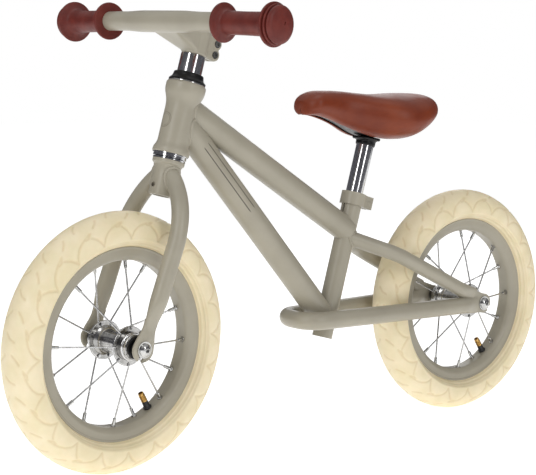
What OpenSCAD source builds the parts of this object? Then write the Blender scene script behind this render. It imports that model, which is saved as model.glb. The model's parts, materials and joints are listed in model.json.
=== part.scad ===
// Child's balance bike: a steel frame with no pedals, two spoked wheels and a saddle.
// Millimetres. The front is -X, the rider's left is -Y and up is +Z. The origin is on
// the ground, midway between the two axles.

/* [Whole bike] */
// Distance between the two axles
wheelbase = 558; // [520:1:620]
// Outer radius of a pumped tyre
tyre_radius = 150; // [146:0.5:156]
// Angle that the bars and front wheel are turned to the rider's left at rest
steer_rest = 4.8; // [-20:0.1:20]

/* [Steering head] */
// Lean of the steering axis back from upright
head_lean = 15.75; // [12:0.25:20]
// Distance of the front axle ahead of the steering axis
rake = 14.2; // [5:0.1:30]
// Height of the head tube's lower end above the axle, along the steering axis
head_tube_base = 223; // [215:1:240]
// Length of the head tube
head_tube_length = 80; // [70:1:110]
// Outer diameter of the head tube
head_tube_od = 36.4; // [36:0.2:40]
// Outer diameter of the head tube's thicker ends
head_ring_od = 43; // [42:0.5:46]
// Outer diameter of the steerer tube
steerer_od = 25.4; // [25:0.1:26.5]
// Height of the two chrome spacers together
spacer_stack = 22; // [10:1:40]
// Outer diameter of the chrome spacers
spacer_od = 28.6; // [28.6:0.1:32]

/* [Frame tubes] */
// Outer diameter of the top tube
top_tube_od = 31.8; // [28.6:0.1:34]
// Outer diameter of the down tube
down_tube_od = 31.8; // [28.6:0.1:34]
// Outer diameter of the seat tube
seat_tube_od = 25.4; // [25.4:0.1:28.6]
// Outer diameter of the tube that loops round the front of the rear triangle
loop_od = 22.2; // [19:0.1:24]
// Outer diameter of a seat stay
seat_stay_od = 19; // [16:0.1:22]
// Wall of the frame's tubes
tube_wall = 1.6; // [1.2:0.1:2]

/* [Seat] */
// Distance of the seat tube behind the middle of the bike, at axle height
seat_tube_x = 40; // [20:1:60]
// Lean of the seat tube back from upright
seat_lean = 15.8; // [12:0.2:20]
// Height of the seat tube's top above the axle, along the tube
seat_tube_top = 158; // [150:1:180]
// Outer diameter of the seat post
seat_post_od = 22.2; // [20:0.1:22.2]
// Length of the seat post
seat_post_length = 165; // [150:1:180]
// Bare length of seat post between the clamp and the saddle bracket
seat_post_shown = 62; // [40:1:90]
// Length of the saddle
saddle_length = 221; // [200:1:250]
// Width of the saddle at its widest
saddle_width = 138; // [120:1:150]

/* [Fork] */
// Distance of a fork leg's middle from the bike's middle
leg_offset = 49; // [46:0.5:56]
// Outer diameter of a fork leg
leg_od = 20; // [16:0.2:22]
// Splay of the top of a fork leg from the steering axis
leg_splay = 48; // [35:1:55]
// Radius of the bend in a fork leg
leg_bend_radius = 100; // [50:1:110]
// Height of the fork's shoulder bend above the axle
leg_corner = 164; // [158:1:170]

/* [Handlebar] */
// Distance of the handlebar ahead of the steering axis
bar_reach = 54; // [40:1:60]
// Height of the handlebar above the axle, along the steering axis
bar_height = 364; // [360:1:380]
// Distance between the two ends of the bare handlebar, before the grips
bar_width = 354; // [320:1:400]
// Diameter of the handlebar under the grips
bar_od = 22.2; // [19:0.1:22.2]
// Diameter of the handlebar's swollen middle
bar_middle_od = 24.6; // [23:0.1:25.4]
// Length of one grip
grip_length = 84; // [75:1:100]
// Diameter of the grip that the hand holds
grip_od = 26; // [25:0.5:30]

/* [Wheels] */
// Outer radius of the rim's edge
rim_radius = 111; // [109:0.5:113]
// Width of the rim
rim_width = 27.2; // [26:0.2:30]
// Width of a pumped tyre
tyre_width = 50; // [47:0.5:52]
// Spokes in one wheel
spoke_count = 16; // [12:4:20]
// Diameter of a spoke
spoke_d = 2; // [1.8:0.1:2.3]
// Diameter of a hub flange
flange_d = 45; // [40:0.5:48]
// Distance between the two flanges' middles
flange_spacing = 44; // [38:0.5:50]
// Width of a hub between the faces that meet the dropouts
hub_width = 90; // [86:0.5:96]
// Diameter of an axle
axle_d = 9.5; // [9:0.1:10]
// Place of the valve round the front rim: degrees up from straight back
front_valve_angle = 299; // [0:1:359]
// Place of the valve round the rear rim: degrees up from straight back
rear_valve_angle = 304; // [0:1:359]

/* [Hidden] */
$fn = 64;

// Gaps
slip = 0.05;          // radial gap of parts that slide or are pressed together by hand
turn_gap = 0.4;       // gap between parts that turn past each other

// Walls and plates
plate = 4;            // dropout thickness
stay_wall = 1.4;
leg_wall = 1.6;
steerer_wall = 2.4;
head_wall = 1.7;

axle_r = axle_d / 2;
front_axle_at = [-wheelbase / 2, 0, tyre_radius];
rear_axle_at = [wheelbase / 2, 0, tyre_radius];
// Foot of the steering axis: the point of it nearest to the front axle
steer_foot = front_axle_at + rake * [cos(head_lean), 0, -sin(head_lean)];
seat_foot = [seat_tube_x, 0, tyre_radius];

// Stations along the steering axis, from its foot
head_tube_top = head_tube_base + head_tube_length;
cup_floor = 1.2;
cup_height = 4.6;
race_flange = 1.8;
race_height = 5.6;
crown_top = head_tube_base - 7.2;
crown_base = head_tube_base - 49;
crown_od = 30;
crown_lip_od = 37.5;
crown_hole_d = 5;
crown_hole_up = crown_base + 10.5;
cover_base = head_tube_top + 1.6;
cover_top = head_tube_top + 15.4;
spacer_base = cover_top;
sleeve_base = spacer_base + spacer_stack;
sleeve_height = 31;
sleeve_top = sleeve_base + sleeve_height;
sleeve_od = spacer_od + 0.6;
steerer_top = sleeve_top - 3;
steerer_base = crown_hole_up + 6;
down_tube_on_head = head_tube_base + 43.5;
top_tube_on_head = head_tube_base + 58;

// Bearing balls
head_ball_r = 2;
head_ball_ring = steerer_od / 2 + 0.5 + head_ball_r;
head_ball_count = 20;
head_ball_lift = cup_floor + head_ball_r + 0.1;
hub_ball_r = 2.35;
hub_ball_ring = axle_r + 5.15;
hub_ball_count = 9;

// Stations along the seat tube, from axle height
seat_tube_base = -28;
top_tube_on_seat = 111;
down_tube_on_seat = -7;
stay_on_seat = 103;
clamp_height = 16;
clamp_top = seat_tube_top + 2;
clamp_od = seat_tube_od + 6.4;
bracket_base = clamp_top + seat_post_shown;
seat_tube_bore = seat_post_od + 2 * slip;
slot_length = 25;

// Rear triangle
dropout_y = hub_width / 2 + plate / 2;
loop_bend = down_tube_od / 2 + loop_od / 2 + 0.3;
loop_front_x = seat_tube_x - 52;
loop_spread_x = rear_axle_at.x - tyre_radius + 20;
loop_spread_y = tyre_width / 2 + loop_od / 2 + 4;
tail_x = rear_axle_at.x - 12;
stay_bend_x = rear_axle_at.x - tyre_radius - 1;
stay_bend_y = tyre_width / 2 + seat_stay_od / 2 + 3.4;
stay_bend_z = tyre_radius + 75;

// Wheel radii
rim_wall = 1.6;
rim_base_r = rim_radius - 16;
nipple_d = 4;
nipple_length = 13;
spoke_hole_r = flange_d / 2 - 3;
flange_t = 2.6;
spoke_lift = 1;       // how far a spoke's elbow stands off its flange, so it clears the edge
barrel_r = 11;
cup_bore_r = hub_ball_ring + hub_ball_r + slip;
cup_outer_r = cup_bore_r + 2;
cup_end = hub_width / 2 - 9.5;
cone_r = hub_ball_ring - hub_ball_r - slip;
ball_y = cup_end - 4.2;
tyre_mid_r = tyre_radius - tyre_width / 2;
valve_r = 4;
valve_length = 27;
valve_thread = 11;

// Axle fasteners
washer_d = 19;
washer_t = 1.5;
bolt_d = 6;
bolt_head_d = 15;
bolt_head_t = 5;
small_bolt_d = 5;     // bolts of the stem and the seat clamp
small_head_d = 8.5;

taupe = [0.60, 0.57, 0.51];
chrome = [0.80, 0.81, 0.83];
cream = [0.91, 0.85, 0.70];
rust = [0.43, 0.22, 0.19];
tan = [0.50, 0.25, 0.16];
black = [0.08, 0.08, 0.08];
brass = [0.78, 0.60, 0.32];
steel = [0.62, 0.63, 0.65];
foam = [0.85, 0.80, 0.60];

FRAME_NODES = ["head_tube", "top_tube", "down_tube", "seat_tube", "chain_stay_loop",
    "seat_stay_left", "seat_stay_right", "rear_dropout_left", "rear_dropout_right",
    "seat_clamp", "seat_clamp_bolt", "headset_upper_cup", "headset_lower_cup",
    "rear_axle", "rear_axle_bolts", "rear_axle_washers", "rear_cones"];
FORK_NODES = ["steerer_tube", "fork_crown", "fork_leg_left", "fork_leg_right",
    "crown_race", "headset_balls", "headset_cover", "stem_spacers", "stem_sleeve",
    "stem_neck", "stem_bolts", "stem_cap", "handlebar", "grip_left", "grip_right",
    "front_axle", "front_axle_bolts", "front_axle_washers", "front_cones"];
SADDLE_NODES = ["seat_post", "saddle_bracket", "saddle_screws", "saddle_base",
    "saddle_foam", "saddle_cover"];
FRONT_WHEEL_NODES = ["front_tyre", "front_inner_tube", "front_rim", "front_spokes",
    "front_nipples", "front_hub", "front_hub_balls", "front_hub_seals", "front_valve"];
REAR_WHEEL_NODES = ["rear_tyre", "rear_inner_tube", "rear_rim", "rear_spokes",
    "rear_nipples", "rear_hub", "rear_hub_balls", "rear_hub_seals", "rear_valve"];

// ---- Frames that pieces are placed in ----

// Z runs up the steering axis and X runs back from it
module in_head() {
    translate(steer_foot) rotate([0, head_lean, 0]) children();
}

// The same frame, turned with the bars
module in_fork() {
    in_head() rotate([0, 0, steer_rest]) children();
}

// Z runs up the seat tube
module in_seat() {
    translate(seat_foot) rotate([0, seat_lean, 0]) children();
}

// Z runs along the axle to the rider's left, X and Y lie in the wheel
module in_front_wheel() {
    in_fork() translate([-rake, 0, 0]) rotate([0, -head_lean, 0]) rotate([90, 0, 0]) children();
}

module in_rear_wheel() {
    translate(rear_axle_at) rotate([90, 0, 0]) children();
}

// The children and their mirror image across the plane Y = 0
module both_sides() {
    children();
    mirror([0, 1, 0]) children();
}

// The children and their mirror image across the plane Z = 0
module both_ends() {
    children();
    mirror([0, 0, 1]) children();
}

function head_point(up) = steer_foot + up * [sin(head_lean), 0, cos(head_lean)];
function seat_point(up) = seat_foot + up * [sin(seat_lean), 0, cos(seat_lean)];

// ---- Round bars and tubes ----

module ring(outer_r, inner_r, height) {
    difference() {
        cylinder(r = outer_r, h = height);
        translate([0, 0, -1]) cylinder(r = inner_r, h = height + 2);
    }
}

function unit(v) = v / norm(v);

// Turns +Z to lie along d, with +X towards n, at the point p
module aim(p, d, n) {
    z = unit(d);
    x = unit(n - (n * z) * z);
    y = cross(z, x);
    multmatrix([[x.x, y.x, z.x, p.x], [x.y, y.y, z.y, p.y], [x.z, y.z, z.z, p.z]])
        children();
}

// A direction that is not along d
function off_axis(d) = abs(unit(d).y) > 0.9 ? [0, 0, 1] : [0, 1, 0];

module bar_between(a, b, r) {
    aim(a, b - a, off_axis(b - a)) cylinder(r = r, h = norm(b - a));
}

module straight_tube(ends, od, wall) {
    d = ends[1] - ends[0];
    aim(ends[0], d, off_axis(d)) linear_extrude(norm(d)) tube_section(od, wall);
}

// A bent tube follows straight runs between points in one plane, with a round bend at each
// inner point. A station is a point on its middle line and the direction there.
function turn_at(pts, i) = acos(unit(pts[i] - pts[i - 1]) * unit(pts[i + 1] - pts[i]));

function bend_stations(pts, i, bend_r, steps) = let (
    d = unit(pts[i] - pts[i - 1]),
    turn = turn_at(pts, i),
    inwards = unit(cross(cross(d, pts[i + 1] - pts[i]), d)),
    centre = pts[i] - bend_r * tan(turn / 2) * d + bend_r * inwards)
    [for (k = [0 : steps]) let (a = turn * k / steps)
        [centre + bend_r * (sin(a) * d - cos(a) * inwards), cos(a) * d + sin(a) * inwards]];

function tube_stations(pts, bend_r, steps) = let (last = len(pts) - 1) concat(
    [[pts[0], unit(pts[1] - pts[0])]],
    [for (i = [1 : last - 1]) each bend_stations(pts, i, bend_r, steps)],
    [[pts[last], unit(pts[last] - pts[last - 1])]]);

tube_sides = 32;

module bent_tube(pts, bend_r, od, wall, steps) {
    stations = tube_stations(pts, bend_r, steps);
    up = unit(cross(stations[0][1], pts[2] - pts[1]));
    n = tube_sides;
    last = len(stations) - 1;
    count = n * (last + 1);
    points = [for (r = [od / 2, od / 2 - wall]) for (s = stations) for (k = [0 : n - 1])
        s[0] + r * (cos(360 * k / n) * cross(up, s[1]) + sin(360 * k / n) * up)];
    sides = [for (i = [0 : last - 1]) for (k = [0 : n - 1])
        [i * n + k, (i + 1) * n + k, (i + 1) * n + (k + 1) % n, i * n + (k + 1) % n]];
    ends = [for (k = [0 : n - 1]) let (m = (k + 1) % n) [k, m, m + count, k + count]];
    outer = [for (f = sides) each [[f[0], f[1], f[2]], [f[0], f[2], f[3]]]];
    inner = [for (f = outer) [f[0] + count, f[2] + count, f[1] + count]];
    start = [for (f = ends) each [[f[0], f[1], f[2]], [f[0], f[2], f[3]]]];
    end = [for (f = start) [f[0] + last * n, f[2] + last * n, f[1] + last * n]];
    polyhedron(points, concat(outer, inner, start, end));
}

module tube_section(od, wall) {
    difference() {
        circle(d = od);
        circle(d = od - 2 * wall);
    }
}

// ---- Frame ----

top_tube_ends = [head_point(top_tube_on_head), seat_point(top_tube_on_seat)];
down_tube_ends = [head_point(down_tube_on_head), seat_point(down_tube_on_seat)];

module head_tube_outside(gap = 0) {
    in_head() translate([0, 0, head_tube_base]) {
        cylinder(d = head_tube_od + 2 * gap, h = head_tube_length);
        cylinder(d = head_ring_od + 2 * gap, h = 5);
        translate([0, 0, 5]) cylinder(d1 = head_ring_od + 2 * gap, d2 = head_tube_od + 2 * gap, h = 5);
        translate([0, 0, head_tube_length - 9]) cylinder(d = head_ring_od + 2 * gap, h = 9);
        translate([0, 0, head_tube_length - 16])
            cylinder(d1 = head_tube_od + 2 * gap, d2 = head_ring_od + 2 * gap, h = 7);
    }
}

module head_tube() {
    color(taupe) difference() {
        head_tube_outside();
        in_head() translate([0, 0, head_tube_base - 1])
            cylinder(d = head_tube_od - 2 * head_wall, h = head_tube_length + 2);
    }
}

module seat_tube_outside(gap = 0) {
    in_seat() translate([0, 0, seat_tube_base])
        cylinder(d = seat_tube_od + 2 * gap, h = seat_tube_top - seat_tube_base);
}

module top_tube_outside(gap = 0) {
    bar_between(top_tube_ends[0], top_tube_ends[1], top_tube_od / 2 + gap);
}

module top_tube() {
    color(taupe) difference() {
        straight_tube(top_tube_ends, top_tube_od, tube_wall);
        head_tube_outside(slip);
        seat_tube_outside(slip);
    }
}

module down_tube() {
    color(taupe) difference() {
        straight_tube(down_tube_ends, down_tube_od, tube_wall);
        head_tube_outside(slip);
        top_tube_outside(slip);
        seat_tube_outside(slip);
        loop_front(slip);
    }
}

module seat_tube() {
    color(taupe) difference() {
        seat_tube_outside();
        in_seat() translate([0, 0, seat_tube_base - 1])
            cylinder(d = seat_tube_bore, h = seat_tube_top - seat_tube_base + 2);
        in_seat() translate([-seat_tube_od, -1.5, seat_tube_top - slot_length])
            cube([seat_tube_od, 3, slot_length + 1]);
    }
}

// The left side of the loop, from its front corner back to the left dropout
loop_left = [
    [loop_front_x, -loop_bend, tyre_radius],
    [loop_spread_x, -loop_spread_y, tyre_radius],
    [tail_x, -dropout_y, tyre_radius]
];
function mirrored(pts) = [for (i = [len(pts) - 1 : -1 : 0]) [pts[i].x, -pts[i].y, pts[i].z]];

module loop_front(gap) {
    both_sides() bar_between(loop_left[0] + [loop_bend * 0.7, 0, 0], loop_left[1], loop_od / 2 + gap);
}

module chain_stay_loop() {
    color(taupe) difference() {
        bent_tube(concat(mirrored(loop_left), loop_left), loop_bend * 0.86, loop_od, tube_wall, 7);
        dropout_slots();
    }
}

stay_left = [
    seat_point(stay_on_seat) + [0, -3, 0],
    [stay_bend_x, -stay_bend_y, stay_bend_z],
    [tail_x - 10, -dropout_y, tyre_radius + 14]
];

module seat_stay() {
    difference() {
        bent_tube(stay_left, 60, seat_stay_od, stay_wall, 8);
        seat_tube_outside(slip);
        top_tube_outside(slip);
        dropout_slots();
        bar_between(loop_left[1], loop_left[2] + 0.3 * (loop_left[2] - loop_left[1]),
            loop_od / 2 + slip);
        translate([0, -slip, 0]) cube([wheelbase, 200, 1000]);
    }
}

module seat_stay_left() {
    color(taupe) seat_stay();
}

module seat_stay_right() {
    color(taupe) mirror([0, 1, 0]) seat_stay();
}

// Outline of a dropout plate round its axle, with its slot open behind and below
dropout_r = 13;
dropout_slot_turn = -35;
bolt_room = bolt_d + 0.6;

module dropout_outline() {
    difference() {
        union() {
            circle(r = dropout_r);
            polygon([[0, dropout_r], [-24, 21], [-38, 6], [-34, -8], [0, -dropout_r]]);
        }
        rotate([0, 0, dropout_slot_turn]) translate([0, -bolt_room / 2])
            square([30, bolt_room]);
        circle(d = bolt_room);
    }
}

module dropout_plate(gap = 0) {
    translate([rear_axle_at.x, -hub_width / 2 + gap, tyre_radius]) rotate([90, 0, 0])
        linear_extrude(plate + 2 * gap) dropout_outline();
}

module rear_dropout_left() {
    color(taupe) dropout_plate();
}

module rear_dropout_right() {
    color(taupe) mirror([0, 1, 0]) dropout_plate();
}

// Room for the dropout plates in the tails of the stays
module dropout_slots() {
    both_sides() translate([rear_axle_at.x - 45, -hub_width / 2 - plate - slip, 0])
        cube([60, plate + 2 * slip, 2 * tyre_radius]);
}

clamp_ear_x = clamp_od / 2 + 6;
clamp_ear_length = 12;
clamp_ear_half = 8;
clamp_bolt_at = 5;

module seat_clamp() {
    color(taupe) in_seat() translate([0, 0, clamp_top - clamp_height]) difference() {
        union() {
            cylinder(d = clamp_od, h = clamp_height);
            translate([0, -clamp_ear_half, 0])
                cube([clamp_ear_x + clamp_ear_length / 2, 2 * clamp_ear_half, clamp_height]);
        }
        translate([0, 0, -1]) cylinder(d = seat_tube_od + 2 * slip, h = clamp_height - 1);
        translate([0, 0, -1]) cylinder(d = seat_tube_bore, h = clamp_height + 2);
        translate([0, -1.5, -1]) cube([60, 3, clamp_height + 2]);
        translate([clamp_ear_x, 20, clamp_height / 2]) rotate([90, 0, 0])
            cylinder(d = small_bolt_d + 2 * slip, h = 40);
        translate([clamp_ear_x, clamp_bolt_at, clamp_height / 2]) rotate([-90, 0, 0])
            cylinder(d = small_head_d + 0.3, h = 20);
    }
}

// Cap screw with a hex socket, its head's underside at Z = 0 and its shank along -Z
module cap_screw(d, head_d, head_h, length) {
    difference() {
        cylinder(d = head_d, h = head_h);
        translate([0, 0, head_h / 2]) cylinder(d = d * 0.92, h = head_h, $fn = 6);
    }
    translate([0, 0, -length]) cylinder(d = d, h = length);
}

module seat_clamp_bolt() {
    color(chrome) in_seat()
        translate([clamp_ear_x, clamp_bolt_at + slip, clamp_top - clamp_height / 2])
            rotate([-90, 0, 0]) cap_screw(small_bolt_d, small_head_d, 5, 12.5);
}

// Drawn upside down for the lower end: skirt inside the head tube, floor and outer wall
module headset_cup(outer_r) {
    difference() {
        union() {
            translate([0, 0, -9]) cylinder(r = head_tube_od / 2 - head_wall - slip, h = 9.5);
            cylinder(r = outer_r, h = cup_floor);
            cylinder(r = cup_wall_r, h = cup_height);
        }
        translate([0, 0, -10]) cylinder(r = steerer_od / 2 + turn_gap, h = 12);
        translate([0, 0, cup_floor]) cylinder(r = head_ball_ring + head_ball_r + slip, h = 10);
    }
}

cup_wall_r = head_ball_ring + head_ball_r + 2.2;

module headset_upper_cup() {
    color(chrome) in_head() translate([0, 0, head_tube_top]) headset_cup(head_ring_od / 2 - 1);
}

module headset_lower_cup() {
    color(chrome) in_head() translate([0, 0, head_tube_base]) mirror([0, 0, 1])
        headset_cup(head_ring_od / 2 - 0.8);
}

// ---- Fork ----

module steerer_tube() {
    color(steel) in_fork() translate([0, 0, steerer_base])
        ring(steerer_od / 2, steerer_od / 2 - steerer_wall, steerer_top - steerer_base);
}

module crown_outside(gap = 0) {
    translate([0, 0, crown_base]) cylinder(d = crown_od + 2 * gap, h = crown_top - crown_base);
    translate([0, 0, crown_top - 10])
        cylinder(d1 = crown_od + 2 * gap, d2 = crown_lip_od + 2 * gap, h = 6);
    translate([0, 0, crown_top - 4]) cylinder(d = crown_lip_od + 2 * gap, h = 4);
}

module fork_crown() {
    color(taupe) in_fork() difference() {
        crown_outside();
        translate([0, 0, steerer_base]) cylinder(d = steerer_od + 2 * slip, h = 60);
        translate([0, 0, crown_base - 1]) cylinder(d = steerer_od - 2 * steerer_wall, h = 60);
        translate([-30, 0, crown_hole_up]) rotate([0, 90, 0]) cylinder(d = crown_hole_d, h = 60);
    }
}

// A leg's line bends at its shoulder and meets the axle's plane
leg_tilt = atan(rake / leg_corner);
leg_top_reach = 6;
leg_path = [
    [0, -leg_top_reach, leg_corner + (leg_offset - leg_top_reach) / tan(leg_splay)],
    [0, -leg_offset, leg_corner],
    [-rake * (1 - 44 / leg_corner), -leg_offset, 44]
];
blade_width = 29;

// The flattened end of a leg, with its slot open below
module leg_blade() {
    translate([-rake, -hub_width / 2, 0]) rotate([90, 0, 0]) linear_extrude(plate) difference() {
        union() {
            circle(d = blade_width);
            rotate([0, 0, -leg_tilt]) translate([-blade_width / 2, 0]) square([blade_width, 22]);
        }
        circle(d = bolt_room);
        translate([-bolt_room / 2, -30]) square([bolt_room, 30]);
    }
}

// Where the round tube is pressed flat
module leg_transition() {
    hull() {
        aim(leg_path[2], leg_path[2] - leg_path[1], [1, 0, 0]) translate([0, 0, -1])
            cylinder(d = leg_od - 0.3, h = 1, $fn = 32);
        translate([-rake, -hub_width / 2 - 0.1, 0]) rotate([90, 0, 0]) linear_extrude(plate - 0.2)
            rotate([0, 0, -leg_tilt]) translate([-blade_width / 2 + 0.1, 19])
                square([blade_width - 0.2, 2]);
    }
}

module fork_leg() {
    difference() {
        union() {
            bent_tube(leg_path, leg_bend_radius, leg_od, leg_wall, 10);
            leg_transition();
            leg_blade();
        }
        crown_outside(slip);
    }
}

module fork_leg_left() {
    color(taupe) in_fork() fork_leg();
}

module fork_leg_right() {
    color(taupe) in_fork() mirror([0, 1, 0]) fork_leg();
}

module crown_race() {
    color(chrome) in_fork() translate([0, 0, crown_top]) {
        ring(head_ring_od / 2 - 2.6, steerer_od / 2 + slip, race_flange);
        ring(head_ball_ring - head_ball_r - slip, steerer_od / 2 + slip, race_height);
    }
}

module ball_ring(ball_r, ring_r, count) {
    for (i = [0 : count - 1]) rotate([0, 0, i * 360 / count]) translate([ring_r, 0, 0])
        sphere(r = ball_r, $fn = 24);
}

module headset_balls() {
    color(steel) in_fork() {
        for (up = [head_tube_base - head_ball_lift, head_tube_top + head_ball_lift])
            translate([0, 0, up]) ball_ring(head_ball_r, head_ball_ring, head_ball_count);
    }
}

notch_count = 8;

module headset_cover() {
    flange_r = head_ring_od / 2 + 0.2;
    skirt_bore = cup_wall_r + turn_gap;
    color(black) in_fork() translate([0, 0, cover_base]) difference() {
        union() {
            cylinder(r = flange_r, h = 3.4);
            translate([0, 0, 3.4]) cylinder(r1 = flange_r, r2 = 17.5, h = 2);
            translate([0, 0, 5.4]) cylinder(r = 16.7, h = cover_top - cover_base - 5.4);
        }
        translate([0, 0, -1]) cylinder(r = steerer_od / 2 + slip, h = 20);
        translate([0, 0, -1]) cylinder(r = skirt_bore, h = 4.8);
        for (i = [0 : notch_count - 1]) rotate([0, 0, (i + 0.5) * 360 / notch_count])
            translate([15.2, -1.2, 6.4]) cube([4, 2.4, 20]);
    }
}

module stem_spacers() {
    color(chrome) in_fork() for (i = [0, 1])
        translate([0, 0, spacer_base + i * spacer_stack / 2])
            ring(spacer_od / 2, steerer_od / 2 + slip, spacer_stack / 2 - 0.1);
}

sleeve_ear_x = 25;
sleeve_ear_r = 7;
sleeve_ear_width = 17;
sleeve_bolts_up = [8, 21];
bolt_head_bore = small_head_d + 0.3;

module sleeve_outside(gap = 0) {
    translate([0, 0, sleeve_base]) cylinder(d = sleeve_od + 2 * gap, h = sleeve_height);
}

module stem_sleeve() {
    color(taupe) in_fork() difference() {
        union() {
            sleeve_outside();
            translate([0, -sleeve_ear_width / 2, sleeve_base])
                cube([sleeve_ear_x, sleeve_ear_width, sleeve_height - 2]);
            for (up = [sleeve_ear_r, sleeve_height - 2 - sleeve_ear_r])
                translate([sleeve_ear_x, sleeve_ear_width / 2, sleeve_base + up])
                    rotate([90, 0, 0]) cylinder(r = sleeve_ear_r, h = sleeve_ear_width);
            translate([sleeve_ear_x, -sleeve_ear_width / 2, sleeve_base + sleeve_ear_r])
                cube([sleeve_ear_r, sleeve_ear_width, sleeve_height - 2 - 2 * sleeve_ear_r]);
        }
        translate([0, 0, sleeve_base - 1]) cylinder(d = steerer_od + 2 * slip, h = sleeve_height + 2);
        translate([0, -1.5, sleeve_base - 1]) cube([60, 3, sleeve_height + 2]);
        for (up = sleeve_bolts_up)
            translate([sleeve_ear_x, 20, sleeve_base + up]) rotate([90, 0, 0]) {
                cylinder(d = small_bolt_d + 2 * slip, h = 40);
                translate([0, 0, 24.5]) cylinder(d = bolt_head_bore, h = 20);
            }
    }
}

module stem_bolts() {
    color(steel) in_fork() for (up = sleeve_bolts_up)
        translate([sleeve_ear_x, -4.5 - slip, sleeve_base + up]) rotate([90, 0, 0])
            cap_screw(small_bolt_d, small_head_d, 4.6, 13);
}

// Cap on top of the steerer and the bolt that draws it down
module stem_cap() {
    color(black) in_fork() translate([0, 0, sleeve_top]) {
        cylinder(d = sleeve_od - 0.6, h = 2.4);
        translate([0, 0, 2.4]) cylinder(d1 = sleeve_od - 0.6, d2 = sleeve_od - 6, h = 1.6);
        translate([0, 0, -30]) cylinder(d = 6, h = 30);
    }
}

bar_bend_at = 80;
bar_sweep = 3.5;
bar_wall = 1.8;
bar_left = [
    [-bar_reach, -bar_bend_at, bar_height],
    [-bar_reach + (bar_width / 2 - bar_bend_at) * tan(bar_sweep), -bar_width / 2, bar_height]
];
grip_line = unit(bar_left[1] - bar_left[0]);
bar_bulge = 35;
bar_taper = 30;

module handlebar() {
    color(taupe) in_fork() {
        bent_tube(concat(mirrored(bar_left), bar_left), 120, bar_od, bar_wall, 3);
        translate([-bar_reach, 0, bar_height]) rotate([90, 0, 0]) difference() {
            both_ends() {
                translate([0, 0, -1]) cylinder(d = bar_middle_od, h = bar_bulge + 1);
                translate([0, 0, bar_bulge])
                    cylinder(d1 = bar_middle_od, d2 = bar_od - 0.2, h = bar_taper);
            }
            translate([0, 0, -100]) cylinder(d = bar_od - bar_wall, h = 200);
        }
    }
}

neck_half = 20;       // half the neck's width where it meets the bar

// The welded neck between the sleeve and the handlebar
module stem_neck() {
    color(taupe) in_fork() difference() {
        hull() {
            translate([-bar_reach + 6, neck_half, bar_height - 1]) rotate([90, 0, 0])
                cylinder(d = 19, h = 2 * neck_half, $fn = 32);
            translate([-4, 0, sleeve_base + 3])
                cylinder(d = sleeve_od - 5, h = sleeve_height - 7, $fn = 32);
        }
        sleeve_outside(slip);
        translate([-bar_reach, 40, bar_height]) rotate([90, 0, 0])
            cylinder(d = bar_middle_od + 2 * slip, h = 80);
    }
}

// Outline of a grip from the bar's inner end outwards: flange, hand part, two ridges, dome
module grip_outline() {
    flange_r = 20.4;
    flange_t = 4;
    square([flange_r, flange_t]);
    square([grip_od / 2, grip_length - 4]);
    // Each step: its start along the grip, its radius and its thickness
    for (step = [[-20, 22.8, 4.5], [-11, 20.5, 4.5], [-6.5, 18.5, 4], [-2.5, 14, 2.5]])
        translate([0, grip_length + step[0]]) square([step[1], step[2]]);
}

module grip() {
    aim(bar_left[1] - (grip_length - 6) * grip_line, grip_line, [1, 0, 0]) difference() {
        rotate_extrude() grip_outline();
        translate([0, 0, -1]) cylinder(d = bar_od + 2 * slip, h = grip_length - 5 + slip);
    }
}

module grip_left() {
    color(rust) in_fork() grip();
}

module grip_right() {
    color(rust) in_fork() mirror([0, 1, 0]) grip();
}

// ---- Axle sets, drawn along Z with the rider's left at +Z ----

module axle() {
    difference() {
        translate([0, 0, -hub_width / 2]) cylinder(r = axle_r, h = hub_width);
        both_ends() translate([0, 0, hub_width / 2 - 16]) cylinder(d = bolt_d + 2 * slip, h = 20);
    }
}

module axle_bolts() {
    both_ends() translate([0, 0, hub_width / 2 + plate + washer_t]) {
        difference() {
            intersection() {
                cylinder(d = bolt_head_d, h = bolt_head_t);
                translate([0, 0, -4.5]) sphere(r = bolt_head_t + 4.5);
            }
            translate([0, 0, 2]) cylinder(d = 5.8, h = 10, $fn = 6);
        }
        translate([0, 0, -18]) cylinder(d = bolt_d, h = 18);
    }
}

module axle_washers() {
    both_ends() translate([0, 0, hub_width / 2 + plate])
        ring(washer_d / 2, bolt_d / 2 + 0.2, washer_t);
}

// Bearing cone and its locknut at each end of the axle
module axle_cones() {
    both_ends() translate([0, 0, ball_y - 3]) {
        ring(cone_r, axle_r + slip, hub_width / 2 - ball_y + 3);
        translate([0, 0, hub_width / 2 - ball_y - 1.5]) ring(8.6, axle_r + slip, 4.5);
    }
}

// ---- Wheels, drawn along Z, with the valve on +X ----

round_steps = 120;
tyre_shoulder = 105;
shoulder_r = tyre_mid_r + tyre_width / 2 * cos(tyre_shoulder);
shoulder_y = tyre_width / 2 * sin(tyre_shoulder);
bead_r = rim_radius - 9;
bead_out = rim_width / 2 - rim_wall - 0.3;
bead_in = bead_out - 3.7;
air_r = tyre_width / 2 - 6.5;
air_mid_r = tyre_mid_r + 0.5;
air_waist_r = rim_radius + 5;

// The space that the inner tube fills, drawn smaller by gap
module air_outline(gap) {
    waist_y = sqrt(pow(air_r - gap, 2) - pow(air_mid_r - air_waist_r, 2));
    intersection() {
        translate([air_mid_r, 0]) circle(r = air_r - gap);
        translate([air_waist_r, -50]) square([100, 100]);
    }
    polygon([[air_waist_r + 0.1, waist_y], [rim_radius + 1.5, bead_in + 1 - gap],
        [bead_r + 4, bead_in - gap], [bead_r - 3 + gap, bead_in - gap],
        [bead_r - 3 + gap, -bead_in + gap], [bead_r + 4, -bead_in + gap],
        [rim_radius + 1.5, -bead_in - 1 + gap], [air_waist_r + 0.1, -waist_y]]);
}

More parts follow.
